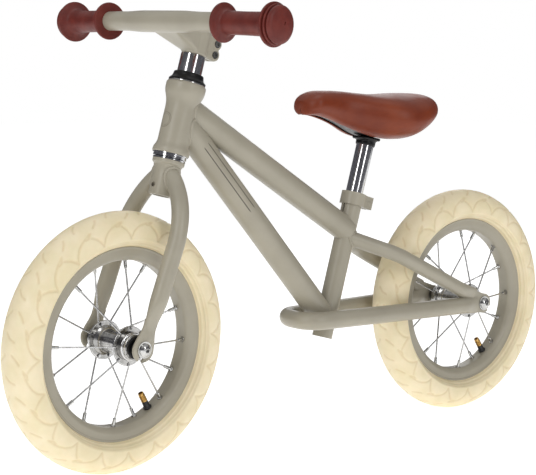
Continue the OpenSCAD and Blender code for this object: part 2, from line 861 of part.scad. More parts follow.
module tyre_profile() {
    difference() {
        union() {
            intersection() {
                translate([tyre_mid_r, 0]) circle(d = tyre_width);
                translate([shoulder_r, -50]) square([100, 100]);
            }
            polygon([[shoulder_r + 0.1, shoulder_y], [rim_radius + 0.4, rim_width / 2 + 0.4],
                [rim_radius + 0.4, bead_out], [bead_r, bead_out],
                [bead_r, -bead_out], [rim_radius + 0.4, -bead_out],
                [rim_radius + 0.4, -rim_width / 2 - 0.4], [shoulder_r + 0.1, -shoulder_y]]);
        }
        air_outline(0);
    }
}

module tyre() {
    rotate_extrude($fn = round_steps) tyre_profile();
}

module inner_tube() {
    difference() {
        rotate_extrude($fn = round_steps) difference() {
            air_outline(0.2);
            air_outline(1.5);
        }
        valve(slip);
    }
}

// Channel with its corners cut by 5, drawn from its floor out to the radius r
module channel(base_r, r, half, cut) {
    polygon([[base_r, cut - half], [base_r + cut, -half], [r, -half],
        [r, half], [base_r + cut, half], [base_r, half - cut]]);
}

module rim_profile() {
    half = rim_width / 2;
    difference() {
        channel(rim_base_r, rim_radius, half, 5);
        channel(rim_base_r + rim_wall, rim_radius + 1, half - rim_wall, 4);
    }
}

spoke_step = 360 / spoke_count;
rim_stagger = 3;

// Both ends of a spoke: its flange hole and its place in the rim, on sides that alternate
function spoke_side(i) = i % 2 == 0 ? 1 : -1;
function spoke_foot(i) = [spoke_hole_r, 0,
    spoke_side(i) * ((flange_spacing + flange_t + spoke_d) / 2 + spoke_lift)];
function spoke_end(i) = [rim_base_r + rim_wall + 1.2, 0, spoke_side(i) * rim_stagger];

module at_spoke(i) {
    rotate([0, 0, (i + 0.5) * spoke_step])
        aim(spoke_foot(i), spoke_end(i) - spoke_foot(i), [0, 1, 0]) children();
}

spoke_run = norm(spoke_end(0) - spoke_foot(0));

module rim() {
    difference() {
        rotate_extrude($fn = round_steps) rim_profile();
        for (i = [0 : spoke_count - 1]) at_spoke(i)
            cylinder(d = nipple_d + 0.5, h = spoke_run + 10);
        translate([rim_base_r - 5, 0, 0]) rotate([0, 90, 0])
            cylinder(r = valve_r + 0.25, h = 12);
    }
}

// A spoke stands just off the outer face of its flange, then bends through it to a head
spoke_head_at = flange_t + spoke_d / 2 + spoke_lift + 0.1;

module spokes() {
    for (i = [0 : spoke_count - 1]) {
        at_spoke(i) {
            cylinder(d = spoke_d, h = spoke_run - nipple_length / 2);
            sphere(d = spoke_d + 0.2, $fn = 16);
        }
        rotate([0, 0, (i + 0.5) * spoke_step]) translate(spoke_foot(i))
            mirror([0, 0, 1 - i % 2]) {
                cylinder(d = spoke_d - 0.05, h = spoke_head_at + 0.5);
                translate([0, 0, spoke_head_at]) cylinder(d = 3.6, h = 1);
            }
    }
}

module nipples() {
    for (i = [0 : spoke_count - 1]) at_spoke(i)
        translate([0, 0, spoke_run - nipple_length]) difference() {
            cylinder(d = nipple_d, h = nipple_length + 0.5);
            translate([0, 0, -1]) cylinder(d = spoke_d + 2 * slip, h = nipple_length / 2 + 2);
        }
}

module hub() {
    difference() {
        union() {
            translate([0, 0, -flange_spacing / 2]) cylinder(r = barrel_r, h = flange_spacing);
            both_ends() {
                translate([0, 0, flange_spacing / 2 - flange_t / 2]) cylinder(d = flange_d, h = flange_t);
                translate([0, 0, flange_spacing / 2]) cylinder(r = cup_outer_r + 1.5, h = 5);
                translate([0, 0, flange_spacing / 2])
                    cylinder(r = cup_outer_r, h = cup_end - flange_spacing / 2);
            }
        }
        cylinder(r = cone_r + 0.6, h = 200, center = true);
        both_ends() translate([0, 0, ball_y - hub_ball_r - 0.6]) cylinder(r = cup_bore_r, h = 30);
        for (i = [0 : spoke_count - 1]) rotate([0, 0, (i + 0.5) * spoke_step]) translate(spoke_foot(i))
            cylinder(d = spoke_d + 0.5, h = 12, center = true);
    }
}

module hub_balls() {
    both_ends() translate([0, 0, ball_y]) ball_ring(hub_ball_r, hub_ball_ring, hub_ball_count);
}

module hub_seals() {
    both_ends() translate([0, 0, cup_end - 1.6]) ring(cup_bore_r - slip, cone_r + turn_gap, 1.6);
}

// Rubber stem on a round foot, with a brass threaded end, standing inwards from the rim
module valve(gap = 0) {
    foot_t = 2.4;
    translate([rim_base_r + rim_wall + 3, 0, 0]) rotate([0, -90, 0]) {
        cylinder(r = valve_r + gap, h = valve_length - valve_thread);
        translate([0, 0, valve_length - valve_thread - 1])
            cylinder(r = valve_r - 0.3 + gap, h = valve_thread + 1);
        translate([0, 0, -foot_t - gap]) cylinder(r = valve_r + 3 + gap, h = foot_t + 2 * gap);
    }
}

// ---- Saddle ----

saddle_nose_x = seat_point(bracket_base).x - 119;
saddle_sections = 26;
saddle_sides = 24;
saddle_top_z = seat_point(bracket_base).z + 70;
cover_skirt_lift = -6;   // the cover's inside runs past its skirt, so the cover is open below
pan_inset = 5;
pan_top_lift = 7.7;
nose_half = 25;

function clamp01(t) = min(1, max(0, t));
function smooth(t) = clamp01(t) * clamp01(t) * (3 - 2 * clamp01(t));
function blend(a, b, t) = a + (b - a) * smooth(t);

// Half width, crest and skirt of the saddle at s, which runs from 0 at the nose to 1 at the tail
function end_round(s) = s < 0.11 ? sqrt(1 - pow(1 - s / 0.11, 2))
    : s > 0.66 ? sqrt(max(0, 1 - pow((s - 0.66) / 0.34, 2))) : 1;
function saddle_half(s) = end_round(s) * blend(nose_half, saddle_width / 2, (s - 0.22) / 0.42);
function saddle_crest(s) = saddle_top_z - 18 * pow(max(0, 1 - s / 0.17), 2)
    - 6 * smooth((s - 0.2) / 0.35) + 3 * smooth((s - 0.6) / 0.2) - 14 * pow(max(0, (s - 0.84) / 0.16), 2);
function saddle_skirt(s) = saddle_top_z - blend(30, 62, (s - 0.02) / 0.58)
    + 26 * smooth((s - 0.66) / 0.34);

// Saddle stations bunch up towards the round ends
function station(i) = 0.5 - 0.5 * cos(180 * i / saddle_sections);

function round_pow(v, p) = sign(v) * pow(abs(v), p);

// One cross-section, inset by the given amount, with its flat floor raised by lift
function saddle_ring(s, inset, lift) = let (
    half = max(0.5, saddle_half(s) - inset),
    floor_z = saddle_skirt(s) + lift,
    top_z = max(floor_z + 1, saddle_crest(s) - inset),
    waist_z = floor_z + 0.4 * (top_z - floor_z))
    [for (k = [0 : saddle_sides - 1]) let (a = 360 * k / saddle_sides, c = round_pow(cos(a), 0.75),
        v = round_pow(sin(a), 0.75))
        [saddle_nose_x + inset + s * (saddle_length - 2 * inset), half * c * (v < 0 ? 1 + 0.14 * v : 1),
            v > 0 ? waist_z + v * (top_z - waist_z) : waist_z + v * (waist_z - floor_z)]];

module saddle_loft(inset, lift) {
    rings = [for (i = [0 : saddle_sections]) saddle_ring(min(0.999, max(0.001, station(i))), inset, lift)];
    points = [for (r = rings) each r];
    n = saddle_sides;
    last = saddle_sections;
    polyhedron(points, concat(
        [[for (k = [0 : n - 1]) k]],
        [for (i = [0 : last - 1]) for (k = [0 : n - 1])
            [i * n + k, (i + 1) * n + k, (i + 1) * n + (k + 1) % n]],
        [for (i = [0 : last - 1]) for (k = [0 : n - 1])
            [i * n + k, (i + 1) * n + (k + 1) % n, i * n + (k + 1) % n]],
        [[for (k = [0 : n - 1]) last * n + n - 1 - k]]));
}

module saddle_cover() {
    color(tan) difference() {
        saddle_loft(0, 0);
        saddle_loft(1.6, cover_skirt_lift);
    }
}

// All the room below a surface that stands lift above the skirt
module under_skirt(lift) {
    last = saddle_sections;
    line = [for (i = [0 : last]) let (s = station(i))
        [saddle_nose_x + pan_inset + s * (saddle_length - 2 * pan_inset), saddle_skirt(s) + lift]];
    nose = saddle_nose_x - 50;
    tail = saddle_nose_x + saddle_length + 50;
    rotate([90, 0, 0]) linear_extrude(2 * saddle_width, center = true)
        polygon(concat([[nose, line[0].y]], line, [[tail, line[last].y], [tail, 0], [nose, 0]]));
}

module saddle_foam() {
    color(foam) difference() {
        saddle_loft(1.9, cover_skirt_lift);
        under_skirt(pan_top_lift + 0.1);
    }
}

// The stiff pan under the foam, a slab that follows the skirt
module saddle_base() {
    color(black) intersection() {
        saddle_loft(pan_inset, 3.5);
        under_skirt(pan_top_lift);
    }
}

bracket_neck_od = seat_post_od + 3.6;
bracket_seat = 7;        // height of the post's end inside the bracket's neck
bracket_plate = [42, 40, 4];
bracket_tilt = 7;
screw_spots = [15, 14];

module in_bracket() {
    in_seat() translate([0, 0, bracket_base]) children();
}

// The plate that the saddle is screwed to, with its underside at Z = 0
module on_bracket_plate() {
    in_bracket() translate([0, 0, bracket_seat]) rotate([0, -bracket_tilt, 0]) children();
}

module saddle_bracket() {
    color(black) difference() {
        union() {
            in_bracket() cylinder(d = bracket_neck_od, h = bracket_seat + 2);
            on_bracket_plate() translate([-bracket_plate.x / 2, -bracket_plate.y / 2, 0])
                cube(bracket_plate);
        }
        in_bracket() translate([0, 0, -1]) cylinder(d = seat_post_od + 2 * slip, h = bracket_seat + 1);
    }
}

module saddle_screws() {
    color(steel) on_bracket_plate() for (x = [-1, 1]) for (y = [-1, 1])
        translate([x * screw_spots.x, y * screw_spots.y, -2.5]) cylinder(d = 8, h = 2.5);
}

module seat_post() {
    color(chrome) in_bracket() translate([0, 0, bracket_seat - slip - seat_post_length])
        ring(seat_post_od / 2, seat_post_od / 2 - 1.6, seat_post_length);
}

// ---- Wheels and axle sets in place ----

module with_front_valve() {
    in_front_wheel() rotate([0, 0, front_valve_angle]) children();
}

module with_rear_valve() {
    in_rear_wheel() rotate([0, 0, rear_valve_angle]) children();
}

module front_axle() {
    color(steel) in_front_wheel() axle();
}

module front_axle_bolts() {
    color(chrome) in_front_wheel() axle_bolts();
}

module front_axle_washers() {
    color(chrome) in_front_wheel() axle_washers();
}

module front_cones() {
    color(steel) in_front_wheel() axle_cones();
}

module front_tyre() {
    color(cream) in_front_wheel() tyre();
}

module front_inner_tube() {
    color(black) with_front_valve() inner_tube();
}

module front_rim() {
    color(taupe) with_front_valve() rim();
}

module front_spokes() {
    color(chrome) with_front_valve() spokes();
}

module front_nipples() {
    color(steel) with_front_valve() nipples();
}

module front_hub() {
    color(chrome) with_front_valve() hub();
}

module front_hub_balls() {
    color(steel) in_front_wheel() hub_balls();
}

module front_hub_seals() {
    color(black) in_front_wheel() hub_seals();
}

module front_valve() {
    color(brass) with_front_valve() valve();
}

module rear_axle() {
    color(steel) in_rear_wheel() axle();
}

module rear_axle_bolts() {
    color(chrome) in_rear_wheel() axle_bolts();
}

module rear_axle_washers() {
    color(chrome) in_rear_wheel() axle_washers();
}

module rear_cones() {
    color(steel) in_rear_wheel() axle_cones();
}

module rear_tyre() {
    color(cream) in_rear_wheel() tyre();
}

module rear_inner_tube() {
    color(black) with_rear_valve() inner_tube();
}

module rear_rim() {
    color(taupe) with_rear_valve() rim();
}

module rear_spokes() {
    color(chrome) with_rear_valve() spokes();
}

module rear_nipples() {
    color(steel) with_rear_valve() nipples();
}

module rear_hub() {
    color(chrome) with_rear_valve() hub();
}

module rear_hub_balls() {
    color(steel) in_rear_wheel() hub_balls();
}

module rear_hub_seals() {
    color(black) in_rear_wheel() hub_seals();
}

module rear_valve() {
    color(brass) with_rear_valve() valve();
}

// ---- Drawing ----

head_tube();
top_tube();
down_tube();
seat_tube();
chain_stay_loop();
seat_stay_left();
seat_stay_right();
rear_dropout_left();
rear_dropout_right();
seat_clamp();
seat_clamp_bolt();
headset_upper_cup();
headset_lower_cup();
rear_axle();
rear_axle_bolts();
rear_axle_washers();
rear_cones();
steerer_tube();
fork_crown();
fork_leg_left();
fork_leg_right();
crown_race();
headset_balls();
headset_cover();
stem_spacers();
stem_sleeve();
stem_neck();
stem_bolts();
stem_cap();
handlebar();
grip_left();
grip_right();
front_axle();
front_axle_bolts();
front_axle_washers();
front_cones();
seat_post();
saddle_bracket();
saddle_screws();
saddle_base();
saddle_foam();
saddle_cover();
front_tyre();
front_inner_tube();
front_rim();
front_spokes();
front_nipples();
front_hub();
front_hub_balls();
front_hub_seals();
front_valve();
rear_tyre();
rear_inner_tube();
rear_rim();
rear_spokes();
rear_nipples();
rear_hub();
rear_hub_balls();
rear_hub_seals();
rear_valve();
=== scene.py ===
"""A child's balance bike: the visible surfaces round its CAD frame, their finishes, a soft
light studio and the camera. Sizes in the helpers are millimetres; finished meshes are metres."""

import json
import math

import bmesh
import bpy
import numpy as np
from mathutils import Matrix, Vector


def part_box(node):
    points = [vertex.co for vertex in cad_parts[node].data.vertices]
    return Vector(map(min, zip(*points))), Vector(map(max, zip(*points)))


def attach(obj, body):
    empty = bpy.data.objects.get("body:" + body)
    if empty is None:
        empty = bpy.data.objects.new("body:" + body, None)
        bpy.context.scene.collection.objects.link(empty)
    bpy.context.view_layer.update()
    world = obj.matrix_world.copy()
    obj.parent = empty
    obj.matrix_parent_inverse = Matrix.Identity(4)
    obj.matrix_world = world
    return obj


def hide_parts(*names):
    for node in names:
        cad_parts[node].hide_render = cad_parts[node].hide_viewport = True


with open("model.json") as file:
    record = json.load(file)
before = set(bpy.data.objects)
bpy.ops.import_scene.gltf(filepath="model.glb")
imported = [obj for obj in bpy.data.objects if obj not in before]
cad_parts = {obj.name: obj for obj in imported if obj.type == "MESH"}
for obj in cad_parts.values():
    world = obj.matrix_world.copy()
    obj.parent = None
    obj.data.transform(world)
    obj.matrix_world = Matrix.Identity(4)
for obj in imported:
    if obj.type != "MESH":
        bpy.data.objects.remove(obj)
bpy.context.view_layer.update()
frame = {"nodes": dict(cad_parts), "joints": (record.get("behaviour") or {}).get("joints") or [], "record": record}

scene = bpy.context.scene
MM = 0.001
nodes = frame["nodes"]
joints = {j["name"]: j for j in frame["joints"]}

# ---- Sizes shared with the CAD frame, in millimetres ----

AXLE_HEIGHT = 150
TYRE_MID_R, TYRE_ROUND_R = 125, 25
RIM_R, RIM_BASE_R, RIM_HALF = 111, 95, 13.6
HEAD_BASE, HEAD_TOP = 223, 303
CROWN_BASE, CROWN_TOP, CROWN_HOLE = 174, 215.8, 184.5
SLEEVE_BASE, SLEEVE_TOP, SLEEVE_R = 340.4, 371.4, 14.6
BAR_REACH, BAR_HEIGHT, BAR_HALF, BAR_BEND_AT = 54, 364, 177, 80
BAR_R, BAR_MIDDLE_R = 11.1, 12.3
GRIP_LENGTH = 84
LEG_Y, BLADE_Y = 49, 47
RAKE = 14.2
SEAT_TUBE_R, TOP_TUBE_R, HEAD_R = 12.7, 15.9, 18.2
BRACKET_STATION = 222
SADDLE_LENGTH, SADDLE_HALF, NOSE_HALF = 213, 69, 25


# ---- Places ----

def moved(x=0, y=0, z=0):
    return Matrix.Translation((x, y, z))


def turned(degrees, axis):
    return Matrix.Rotation(math.radians(degrees), 4, axis)


steer_axis = Vector(joints["steering"]["axis"])
head_lean = math.degrees(math.atan2(steer_axis.x, steer_axis.z))
HEAD = moved(*(Vector(joints["steering"]["pos_m"]) / MM)) @ turned(head_lean, "Y")
spin = HEAD.to_3x3().inverted() @ Vector(joints["front_wheel_spin"]["axis"])
FORK = HEAD @ turned(math.degrees(math.atan2(spin.x, -spin.y)), "Z")
FRONT = FORK @ moved(-RAKE) @ turned(-head_lean, "Y") @ turned(90, "X")
REAR = moved(*(Vector(joints["rear_wheel_spin"]["pos_m"]) / MM)) @ turned(90, "X")

seat_axis = Vector(joints["seat_height"]["axis"])
seat_lean = math.degrees(math.atan2(seat_axis.x, seat_axis.z))
post_middle = sum(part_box("seat_post"), Vector()) / 2 / MM
seat_foot = post_middle + seat_axis * (AXLE_HEIGHT - post_middle.z) / seat_axis.z
SEAT = moved(*seat_foot) @ turned(seat_lean, "Y")
ROW = Matrix.Identity(4)
MIRROR = Matrix.Diagonal((1, -1, 1, 1))


def at(place, *point):
    return np.array(place @ Vector(point))


def unit(v):
    v = np.asarray(v, float)
    return v / np.linalg.norm(v)


# ---- Mesh helpers: each gives (points, faces) in millimetres ----

def grid_faces(rows, columns, wrap_rows=False, wrap_columns=True):
    faces = []
    for i in range(rows if wrap_rows else rows - 1):
        a, b = i * columns, (i + 1) % rows * columns
        for k in range(columns if wrap_columns else columns - 1):
            m = (k + 1) % columns
            faces.append((a + k, a + m, b + m, b + k))
    return faces


def rounded(corners, closed=True, steps=4):
    """Corners of (x, y, radius) joined by straight lines, each corner eased to its radius."""
    out, n = [], len(corners)
    for i, (x, y, r) in enumerate(corners):
        here = np.array((x, y), float)
        if r <= 0 or (not closed and i in (0, n - 1)):
            out.append(tuple(here))
            continue
        to_last = np.array(corners[i - 1][:2], float) - here
        to_next = np.array(corners[(i + 1) % n][:2], float) - here
        reach = min(r, 0.48 * np.linalg.norm(to_last), 0.48 * np.linalg.norm(to_next))
        a, b = here + unit(to_last) * reach, here + unit(to_next) * reach
        for t in np.linspace(0, 1, steps + 1):
            out.append(tuple((1 - t) ** 2 * a + 2 * t * (1 - t) * here + t * t * b))
    return out


def lathe(profile, steps=96, closed=True):
    """(radius, height) pairs turned round Z. A pair on the axis becomes a pole."""
    points, rings, faces = [], [], []
    for r, z in profile:
        count = 1 if r < 1e-6 else steps
        rings.append(range(len(points), len(points) + count))
        points += [(r * math.cos(2 * math.pi * k / steps), r * math.sin(2 * math.pi * k / steps), z)
                   for k in range(count)]
    for a, b in zip(rings, rings[1:] + (rings[:1] if closed else [])):
        for k in range(steps):
            m = (k + 1) % steps
            corner = [a[k % len(a)], a[m % len(a)], b[m % len(b)], b[k % len(b)]]
            face = tuple(dict.fromkeys(corner))
            if len(face) > 2:
                faces.append(face)
    return points, faces


def bent_path(corners, radius, spacing=4.0):
    """Points a few millimetres apart along straight runs joined by round bends."""
    corners = [np.array(c, float) for c in corners]
    key = [corners[0]]
    for a, b, c in zip(corners, corners[1:], corners[2:]):
        d, e = unit(b - a), unit(c - b)
        turn = math.acos(min(1, d @ e))
        inwards = unit(e - (e @ d) * d)
        start = b - d * radius * math.tan(turn / 2)
        for t in np.linspace(0, turn, max(3, int(radius * turn / spacing) + 1)):
            key.append(start + radius * (math.sin(t) * d + (1 - math.cos(t)) * inwards))
    key.append(corners[-1])
    out = [key[0]]
    for a, b in zip(key, key[1:]):
        count = max(1, round(np.linalg.norm(b - a) / spacing))
        out += [a + (b - a) * k / count for k in range(1, count + 1)]
    return np.array(out)


def sweep(path, up, section, sides=32, closed=False):
    """A section carried along a path. section(distance from the start, length left) gives
    half sizes across and along up, and a shift across."""
    path = np.asarray(path, float)
    n = len(path)
    ahead = np.roll(path, -1, 0) if closed else np.vstack([path[1:], path[-1:]])
    behind = np.roll(path, 1, 0) if closed else np.vstack([path[:1], path[:-1]])
    steps = np.linalg.norm(np.diff(path, axis=0), axis=1)
    run = np.concatenate([[0], np.cumsum(steps)])
    angles = np.linspace(0, 2 * math.pi, sides, endpoint=False)
    points = []
    for i in range(n):
        along = unit(ahead[i] - behind[i])
        over = np.asarray(up(path[i]) if callable(up) else up, float)
        across = unit(np.cross(over, along))
        over = np.cross(along, across)
        wide, tall, shift = section(run[i], run[-1] - run[i])
        for a in angles:
            points.append(path[i] + (wide * math.cos(a) + shift) * across
                          + tall * math.sin(a) * over)
    faces = grid_faces(n, sides, wrap_rows=closed)
    if not closed:
        faces += [tuple(range(sides))[::-1], tuple(range((n - 1) * sides, n * sides))]
    return points, faces


def plate(outline, thickness, edge=0.6):
    """A flat plate in the XY plane with eased edges, its middle at Z = 0."""
    flat = np.array(outline, float)
    ahead, behind = np.roll(flat, -1, 0), np.roll(flat, 1, 0)
    normal = np.stack([(ahead - behind)[:, 1], -(ahead - behind)[:, 0]], 1)
    normal /= np.linalg.norm(normal, axis=1)[:, None]
    area = np.sum(flat[:, 0] * ahead[:, 1] - ahead[:, 0] * flat[:, 1])
    inner = flat - normal * edge * np.sign(area)
    half, points = thickness / 2, []
    for ring, z in ((inner, -half), (flat, edge - half), (flat, half - edge), (inner, half)):
        points += [(x, y, z) for x, y in ring]
    n = len(flat)
    faces = grid_faces(4, n) + [tuple(range(n))[::-1], tuple(range(3 * n, 4 * n))]
    return points, faces


def rod(radius, length, steps):
    """A solid cylinder that stands on the XY plane."""
    return lathe([(0, 0), (radius, 0), (radius, length), (0, length)], steps, closed=False)


def put(shape, place):
    """The shape moved by a matrix."""
    points, faces = shape
    return [tuple(place @ Vector(p)) for p in points], faces


def joined(*shapes):
    points, faces = [], []
    for p, f in shapes:
        faces += [tuple(k + len(points) for k in face) for face in f]
        points += list(p)
    return points, faces


def smooth_step(t):
    t = min(1.0, max(0.0, t))
    return t * t * (3 - 2 * t)


# ---- Pieces ----

def make(name, shape, place, material, sharp=35):
    """A mesh object with its place in its mesh, its faces outwards and its rounds smooth."""
    points, faces = shape
    mesh = bpy.data.meshes.new(name)
    world = np.array(place)
    flat = np.asarray(points, float) @ world[:3, :3].T + world[:3, 3]
    mesh.from_pydata((flat * MM).tolist(), [], faces)
    settle(mesh)
    obj = bpy.data.objects.new(name, mesh)
    scene.collection.objects.link(obj)
    finish_mesh(mesh, sharp)
    mesh.materials.append(material)
    return obj


def settle(mesh):
    tidy = bmesh.new()
    tidy.from_mesh(mesh)
    bmesh.ops.remove_doubles(tidy, verts=tidy.verts, dist=1e-7)
    bmesh.ops.recalc_face_normals(tidy, faces=tidy.faces)
    tidy.to_mesh(mesh)
    tidy.free()


def finish_mesh(mesh, sharp):
    mesh.polygons.foreach_set("use_smooth", [True] * len(mesh.polygons))
    mesh.set_sharp_from_angle(angle=math.radians(sharp))
    mesh.update()


def baked(obj):
    """The object with its modifiers applied, as a new plain mesh under the same name."""
    graph = bpy.context.evaluated_depsgraph_get()
    mesh = bpy.data.meshes.new_from_object(obj.evaluated_get(graph))
    if not mesh.materials:
        for material in obj.data.materials:
            mesh.materials.append(material)
    name = obj.name
    out = bpy.data.objects.new(name + ".baked", mesh)
    scene.collection.objects.link(out)
    bpy.data.objects.remove(obj)
    out.name = name
    return out


def cut(obj, *cutters, sharp=35):
    """The object with each cutter's volume taken away."""
    for cutter in cutters:
        step = obj.modifiers.new("cut", "BOOLEAN")
        step.operation, step.solver, step.object = "DIFFERENCE", "EXACT", cutter
    out = baked(obj)
    for cutter in cutters:
        bpy.data.objects.remove(cutter)
    finish_mesh(out.data, sharp)
    return out


def cast(obj, grain, passes=8, sharp=60):
    """Overlapping lumps made one skin, with their joins softened as a weld or a casting is."""
    skin = obj.modifiers.new("skin", "REMESH")
    skin.mode, skin.voxel_size = "VOXEL", grain * MM
    ease = obj.modifiers.new("ease", "SMOOTH")
    ease.factor, ease.iterations = 0.5, passes
    out = baked(obj)
    finish_mesh(out.data, sharp)
    return out


def show(obj, body, slot, *replaced):
    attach(obj, body)
    if replaced:
        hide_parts(*replaced)
    return obj


# ---- Geometry Nodes: what repeats round an axle ----

def add(tree, kind, inputs=(), **settings):
    """Adds a node with its settings, and its inputs as values or links."""
    node = tree.nodes.new(kind)
    for key, value in settings.items():
        setattr(node, key, value)
    for key, value in dict(inputs).items():
        if isinstance(value, bpy.types.NodeSocket):
            tree.links.new(value, node.inputs[key])
        else:
            node.inputs[key].default_value = value
    return node


def repeat_tree():
    """Copies the incoming mesh round Z: Count copies from Start Angle, in radians."""
    tree = bpy.data.node_groups.new("repeat_round_axle", "GeometryNodeTree")
    for name, kind in (("Geometry", "NodeSocketGeometry"), ("Count", "NodeSocketInt"),
                       ("Start Angle", "NodeSocketFloat"), ("Material", "NodeSocketMaterial")):
        tree.interface.new_socket(name, in_out="INPUT", socket_type=kind)
    tree.interface.new_socket("Geometry", in_out="OUTPUT", socket_type="NodeSocketGeometry")
    given = add(tree, "NodeGroupInput").outputs
    spots = add(tree, "GeometryNodeMeshLine", {"Count": given["Count"], "Offset": (0, 0, 0)})
    index = add(tree, "GeometryNodeInputIndex")
    step = add(tree, "ShaderNodeMath", {0: 2 * math.pi, 1: given["Count"]}, operation="DIVIDE")
    angle = add(tree, "ShaderNodeMath",
                {0: index.outputs[0], 1: step.outputs[0], 2: given["Start Angle"]},
                operation="MULTIPLY_ADD")
    turn = add(tree, "ShaderNodeCombineXYZ", {"Z": angle.outputs[0]})
    copies = add(tree, "GeometryNodeInstanceOnPoints",
                 {"Points": spots.outputs["Mesh"], "Instance": given["Geometry"],
                  "Rotation": turn.outputs[0]})
    real = add(tree, "GeometryNodeRealizeInstances", {"Geometry": copies.outputs[0]})
    finish = add(tree, "GeometryNodeSetMaterial",
                 {"Geometry": real.outputs[0], "Material": given["Material"]})
    add(tree, "NodeGroupOutput", {"Geometry": finish.outputs[0]})
    return tree


REPEAT = repeat_tree()


def repeated(name, shape, count, start, place, material, sharp=35):
    """count copies of a shape round its own Z, then placed, as one plain mesh."""
    unit_piece = make(name, shape, ROW, material, sharp)
    copier = unit_piece.modifiers.new("repeat", "NODES")
    copier.node_group = REPEAT
    sockets = {s.name: s.identifier for s in REPEAT.interface.items_tree if s.in_out == "INPUT"}
    copier[sockets["Count"]] = count
    copier[sockets["Start Angle"]] = math.radians(start)
    copier[sockets["Material"]] = material
    out = baked(unit_piece)
    scaled = place.copy()
    scaled.translation = place.translation * MM
    out.data.transform(scaled)
    finish_mesh(out.data, sharp)
    return out


# ---- Finishes ----

def linear(code):
    """An sRGB hex colour as linear values."""
    values = [int(code[k:k + 2], 16) / 255 for k in (0, 2, 4)]
    return tuple(v / 12.92 if v <= 0.04045 else ((v + 0.055) / 1.055) ** 2.4 for v in values) + (1,)


def finish(name, dark, light, rough, patch=30.0, grain=1.0, depth=0.02, spread=0.06, pattern="noise",
           **shader):
    """A procedural finish. dark and light are the two shades that drift over patches of patch
    millimetres; grain is the size of the surface's texture and depth its height, in millimetres;
    spread is how far the roughness wanders either side of rough."""
    material = bpy.data.materials.new(name)
    material.use_nodes = True
    tree = material.node_tree
    surface = tree.nodes["Principled BSDF"]
    for key, value in shader.items():
        surface.inputs[key.replace("_", " ")].default_value = value
    where = add(tree, "ShaderNodeTexCoord").outputs["Object"]
    drift = add(tree, "ShaderNodeTexNoise",
                {"Vector": where, "Scale": 1000 / patch, "Detail": 4, "Roughness": 0.55})
    shade = add(tree, "ShaderNodeValToRGB", {"Fac": drift.outputs["Fac"]})
    shade.color_ramp.elements[0].position, shade.color_ramp.elements[0].color = 0.34, linear(dark)
    shade.color_ramp.elements[1].position, shade.color_ramp.elements[1].color = 0.66, linear(light)
    tree.links.new(shade.outputs["Color"], surface.inputs["Base Color"])
    wander = add(tree, "ShaderNodeTexNoise",
                 {"Vector": where, "Scale": 1000 / (patch * 0.4), "Detail": 3})
    gloss = add(tree, "ShaderNodeMapRange",
                {"Value": wander.outputs["Fac"], "From Min": 0.3, "From Max": 0.7,
                 "To Min": max(0.02, rough - spread), "To Max": rough + spread})
    tree.links.new(gloss.outputs["Result"], surface.inputs["Roughness"])
    if pattern == "cells":
        texture = add(tree, "ShaderNodeTexVoronoi", {"Vector": where, "Scale": 1000 / grain},
                      feature="SMOOTH_F1")
        height = texture.outputs["Distance"]
    else:
        texture = add(tree, "ShaderNodeTexNoise",
                      {"Vector": where, "Scale": 1000 / grain, "Detail": 2})
        height = texture.outputs["Fac"]
    bump = add(tree, "ShaderNodeBump", {"Height": height, "Strength": 1.0, "Distance": depth * MM})
    tree.links.new(bump.outputs["Normal"], surface.inputs["Normal"])
    material["shade"], material["bump"] = shade.name, bump.name
    return material


def mix_painted_shade(material, attribute, code, strength=1.0):
    """Mixes a second, darker colour in where a mesh attribute says so; used for painted shade."""
    tree = material.node_tree
    shade = tree.nodes[material["shade"]]
    shade_mark = add(tree, "ShaderNodeAttribute", attribute_name=attribute)
    amount = add(tree, "ShaderNodeMath", {0: shade_mark.outputs["Fac"], 1: strength}, operation="MULTIPLY")
    # In a Mix node the colours' sockets are told apart by number: 6 and 7 in, 2 out
    mix = add(tree, "ShaderNodeMix",
              {0: amount.outputs[0], 6: shade.outputs["Color"], 7: linear(code)}, data_type="RGBA")
    tree.links.new(mix.outputs[2], tree.nodes["Principled BSDF"].inputs["Base Color"])


def brushed(material, axis_scale, depth):
    """Adds fine turned lines, drawn out along one direction, on top of a finish's own grain."""
    tree = material.node_tree
    where = add(tree, "ShaderNodeTexCoord").outputs["Object"]
    drawn = add(tree, "ShaderNodeMapping", {"Vector": where, "Scale": axis_scale})
    lines = add(tree, "ShaderNodeTexNoise", {"Vector": drawn.outputs[0], "Scale": 1.0, "Detail": 2})
    bump = add(tree, "ShaderNodeBump",
               {"Height": lines.outputs["Fac"], "Distance": depth * MM,
                "Normal": tree.nodes[material["bump"]].outputs["Normal"]})
    tree.links.new(bump.outputs["Normal"], tree.nodes["Principled BSDF"].inputs["Normal"])


# Polyester powder coat, baked on steel: satin, with a faint orange peel about 1.6 mm across
PAINT = finish("powder_coat_taupe", "9A9484", "A39D8D", 0.36, patch=60, grain=1.6, depth=0.014,
               spread=0.05, Coat_Weight=0.12, Coat_Roughness=0.3)
# Decorative nickel-chrome plate: near mirror, with the slightest waviness of the polished steel
CHROME = finish("polished_chrome_plate", "C6C6C7", "D8D8D8", 0.13, patch=20, grain=7, depth=0.006,
                spread=0.03, Metallic=1.0)
# Chrome on a stamped and turned hub: greyer, with fine lathe lines about 0.5 mm apart
HUB_CHROME = finish("turned_hub_chrome", "9C9B99", "BDBCBA", 0.2, patch=8, grain=3, depth=0.01,
                    spread=0.06, Metallic=1.0)
# Bright zinc on a forged bolt head: clean but softer than chrome
BOLT_CHROME = finish("zinc_plated_bolt", "B4B4B2", "CDCDCB", 0.2, patch=6, grain=1.2, depth=0.008,
                     spread=0.06, Metallic=1.0)
# Drawn and galvanised spoke wire: bright with drawing marks along it
SPOKE_STEEL = finish("galvanised_spoke_wire", "A8A8A8", "CACACA", 0.22, patch=9, grain=0.8,
                     depth=0.01, spread=0.08, Metallic=1.0)
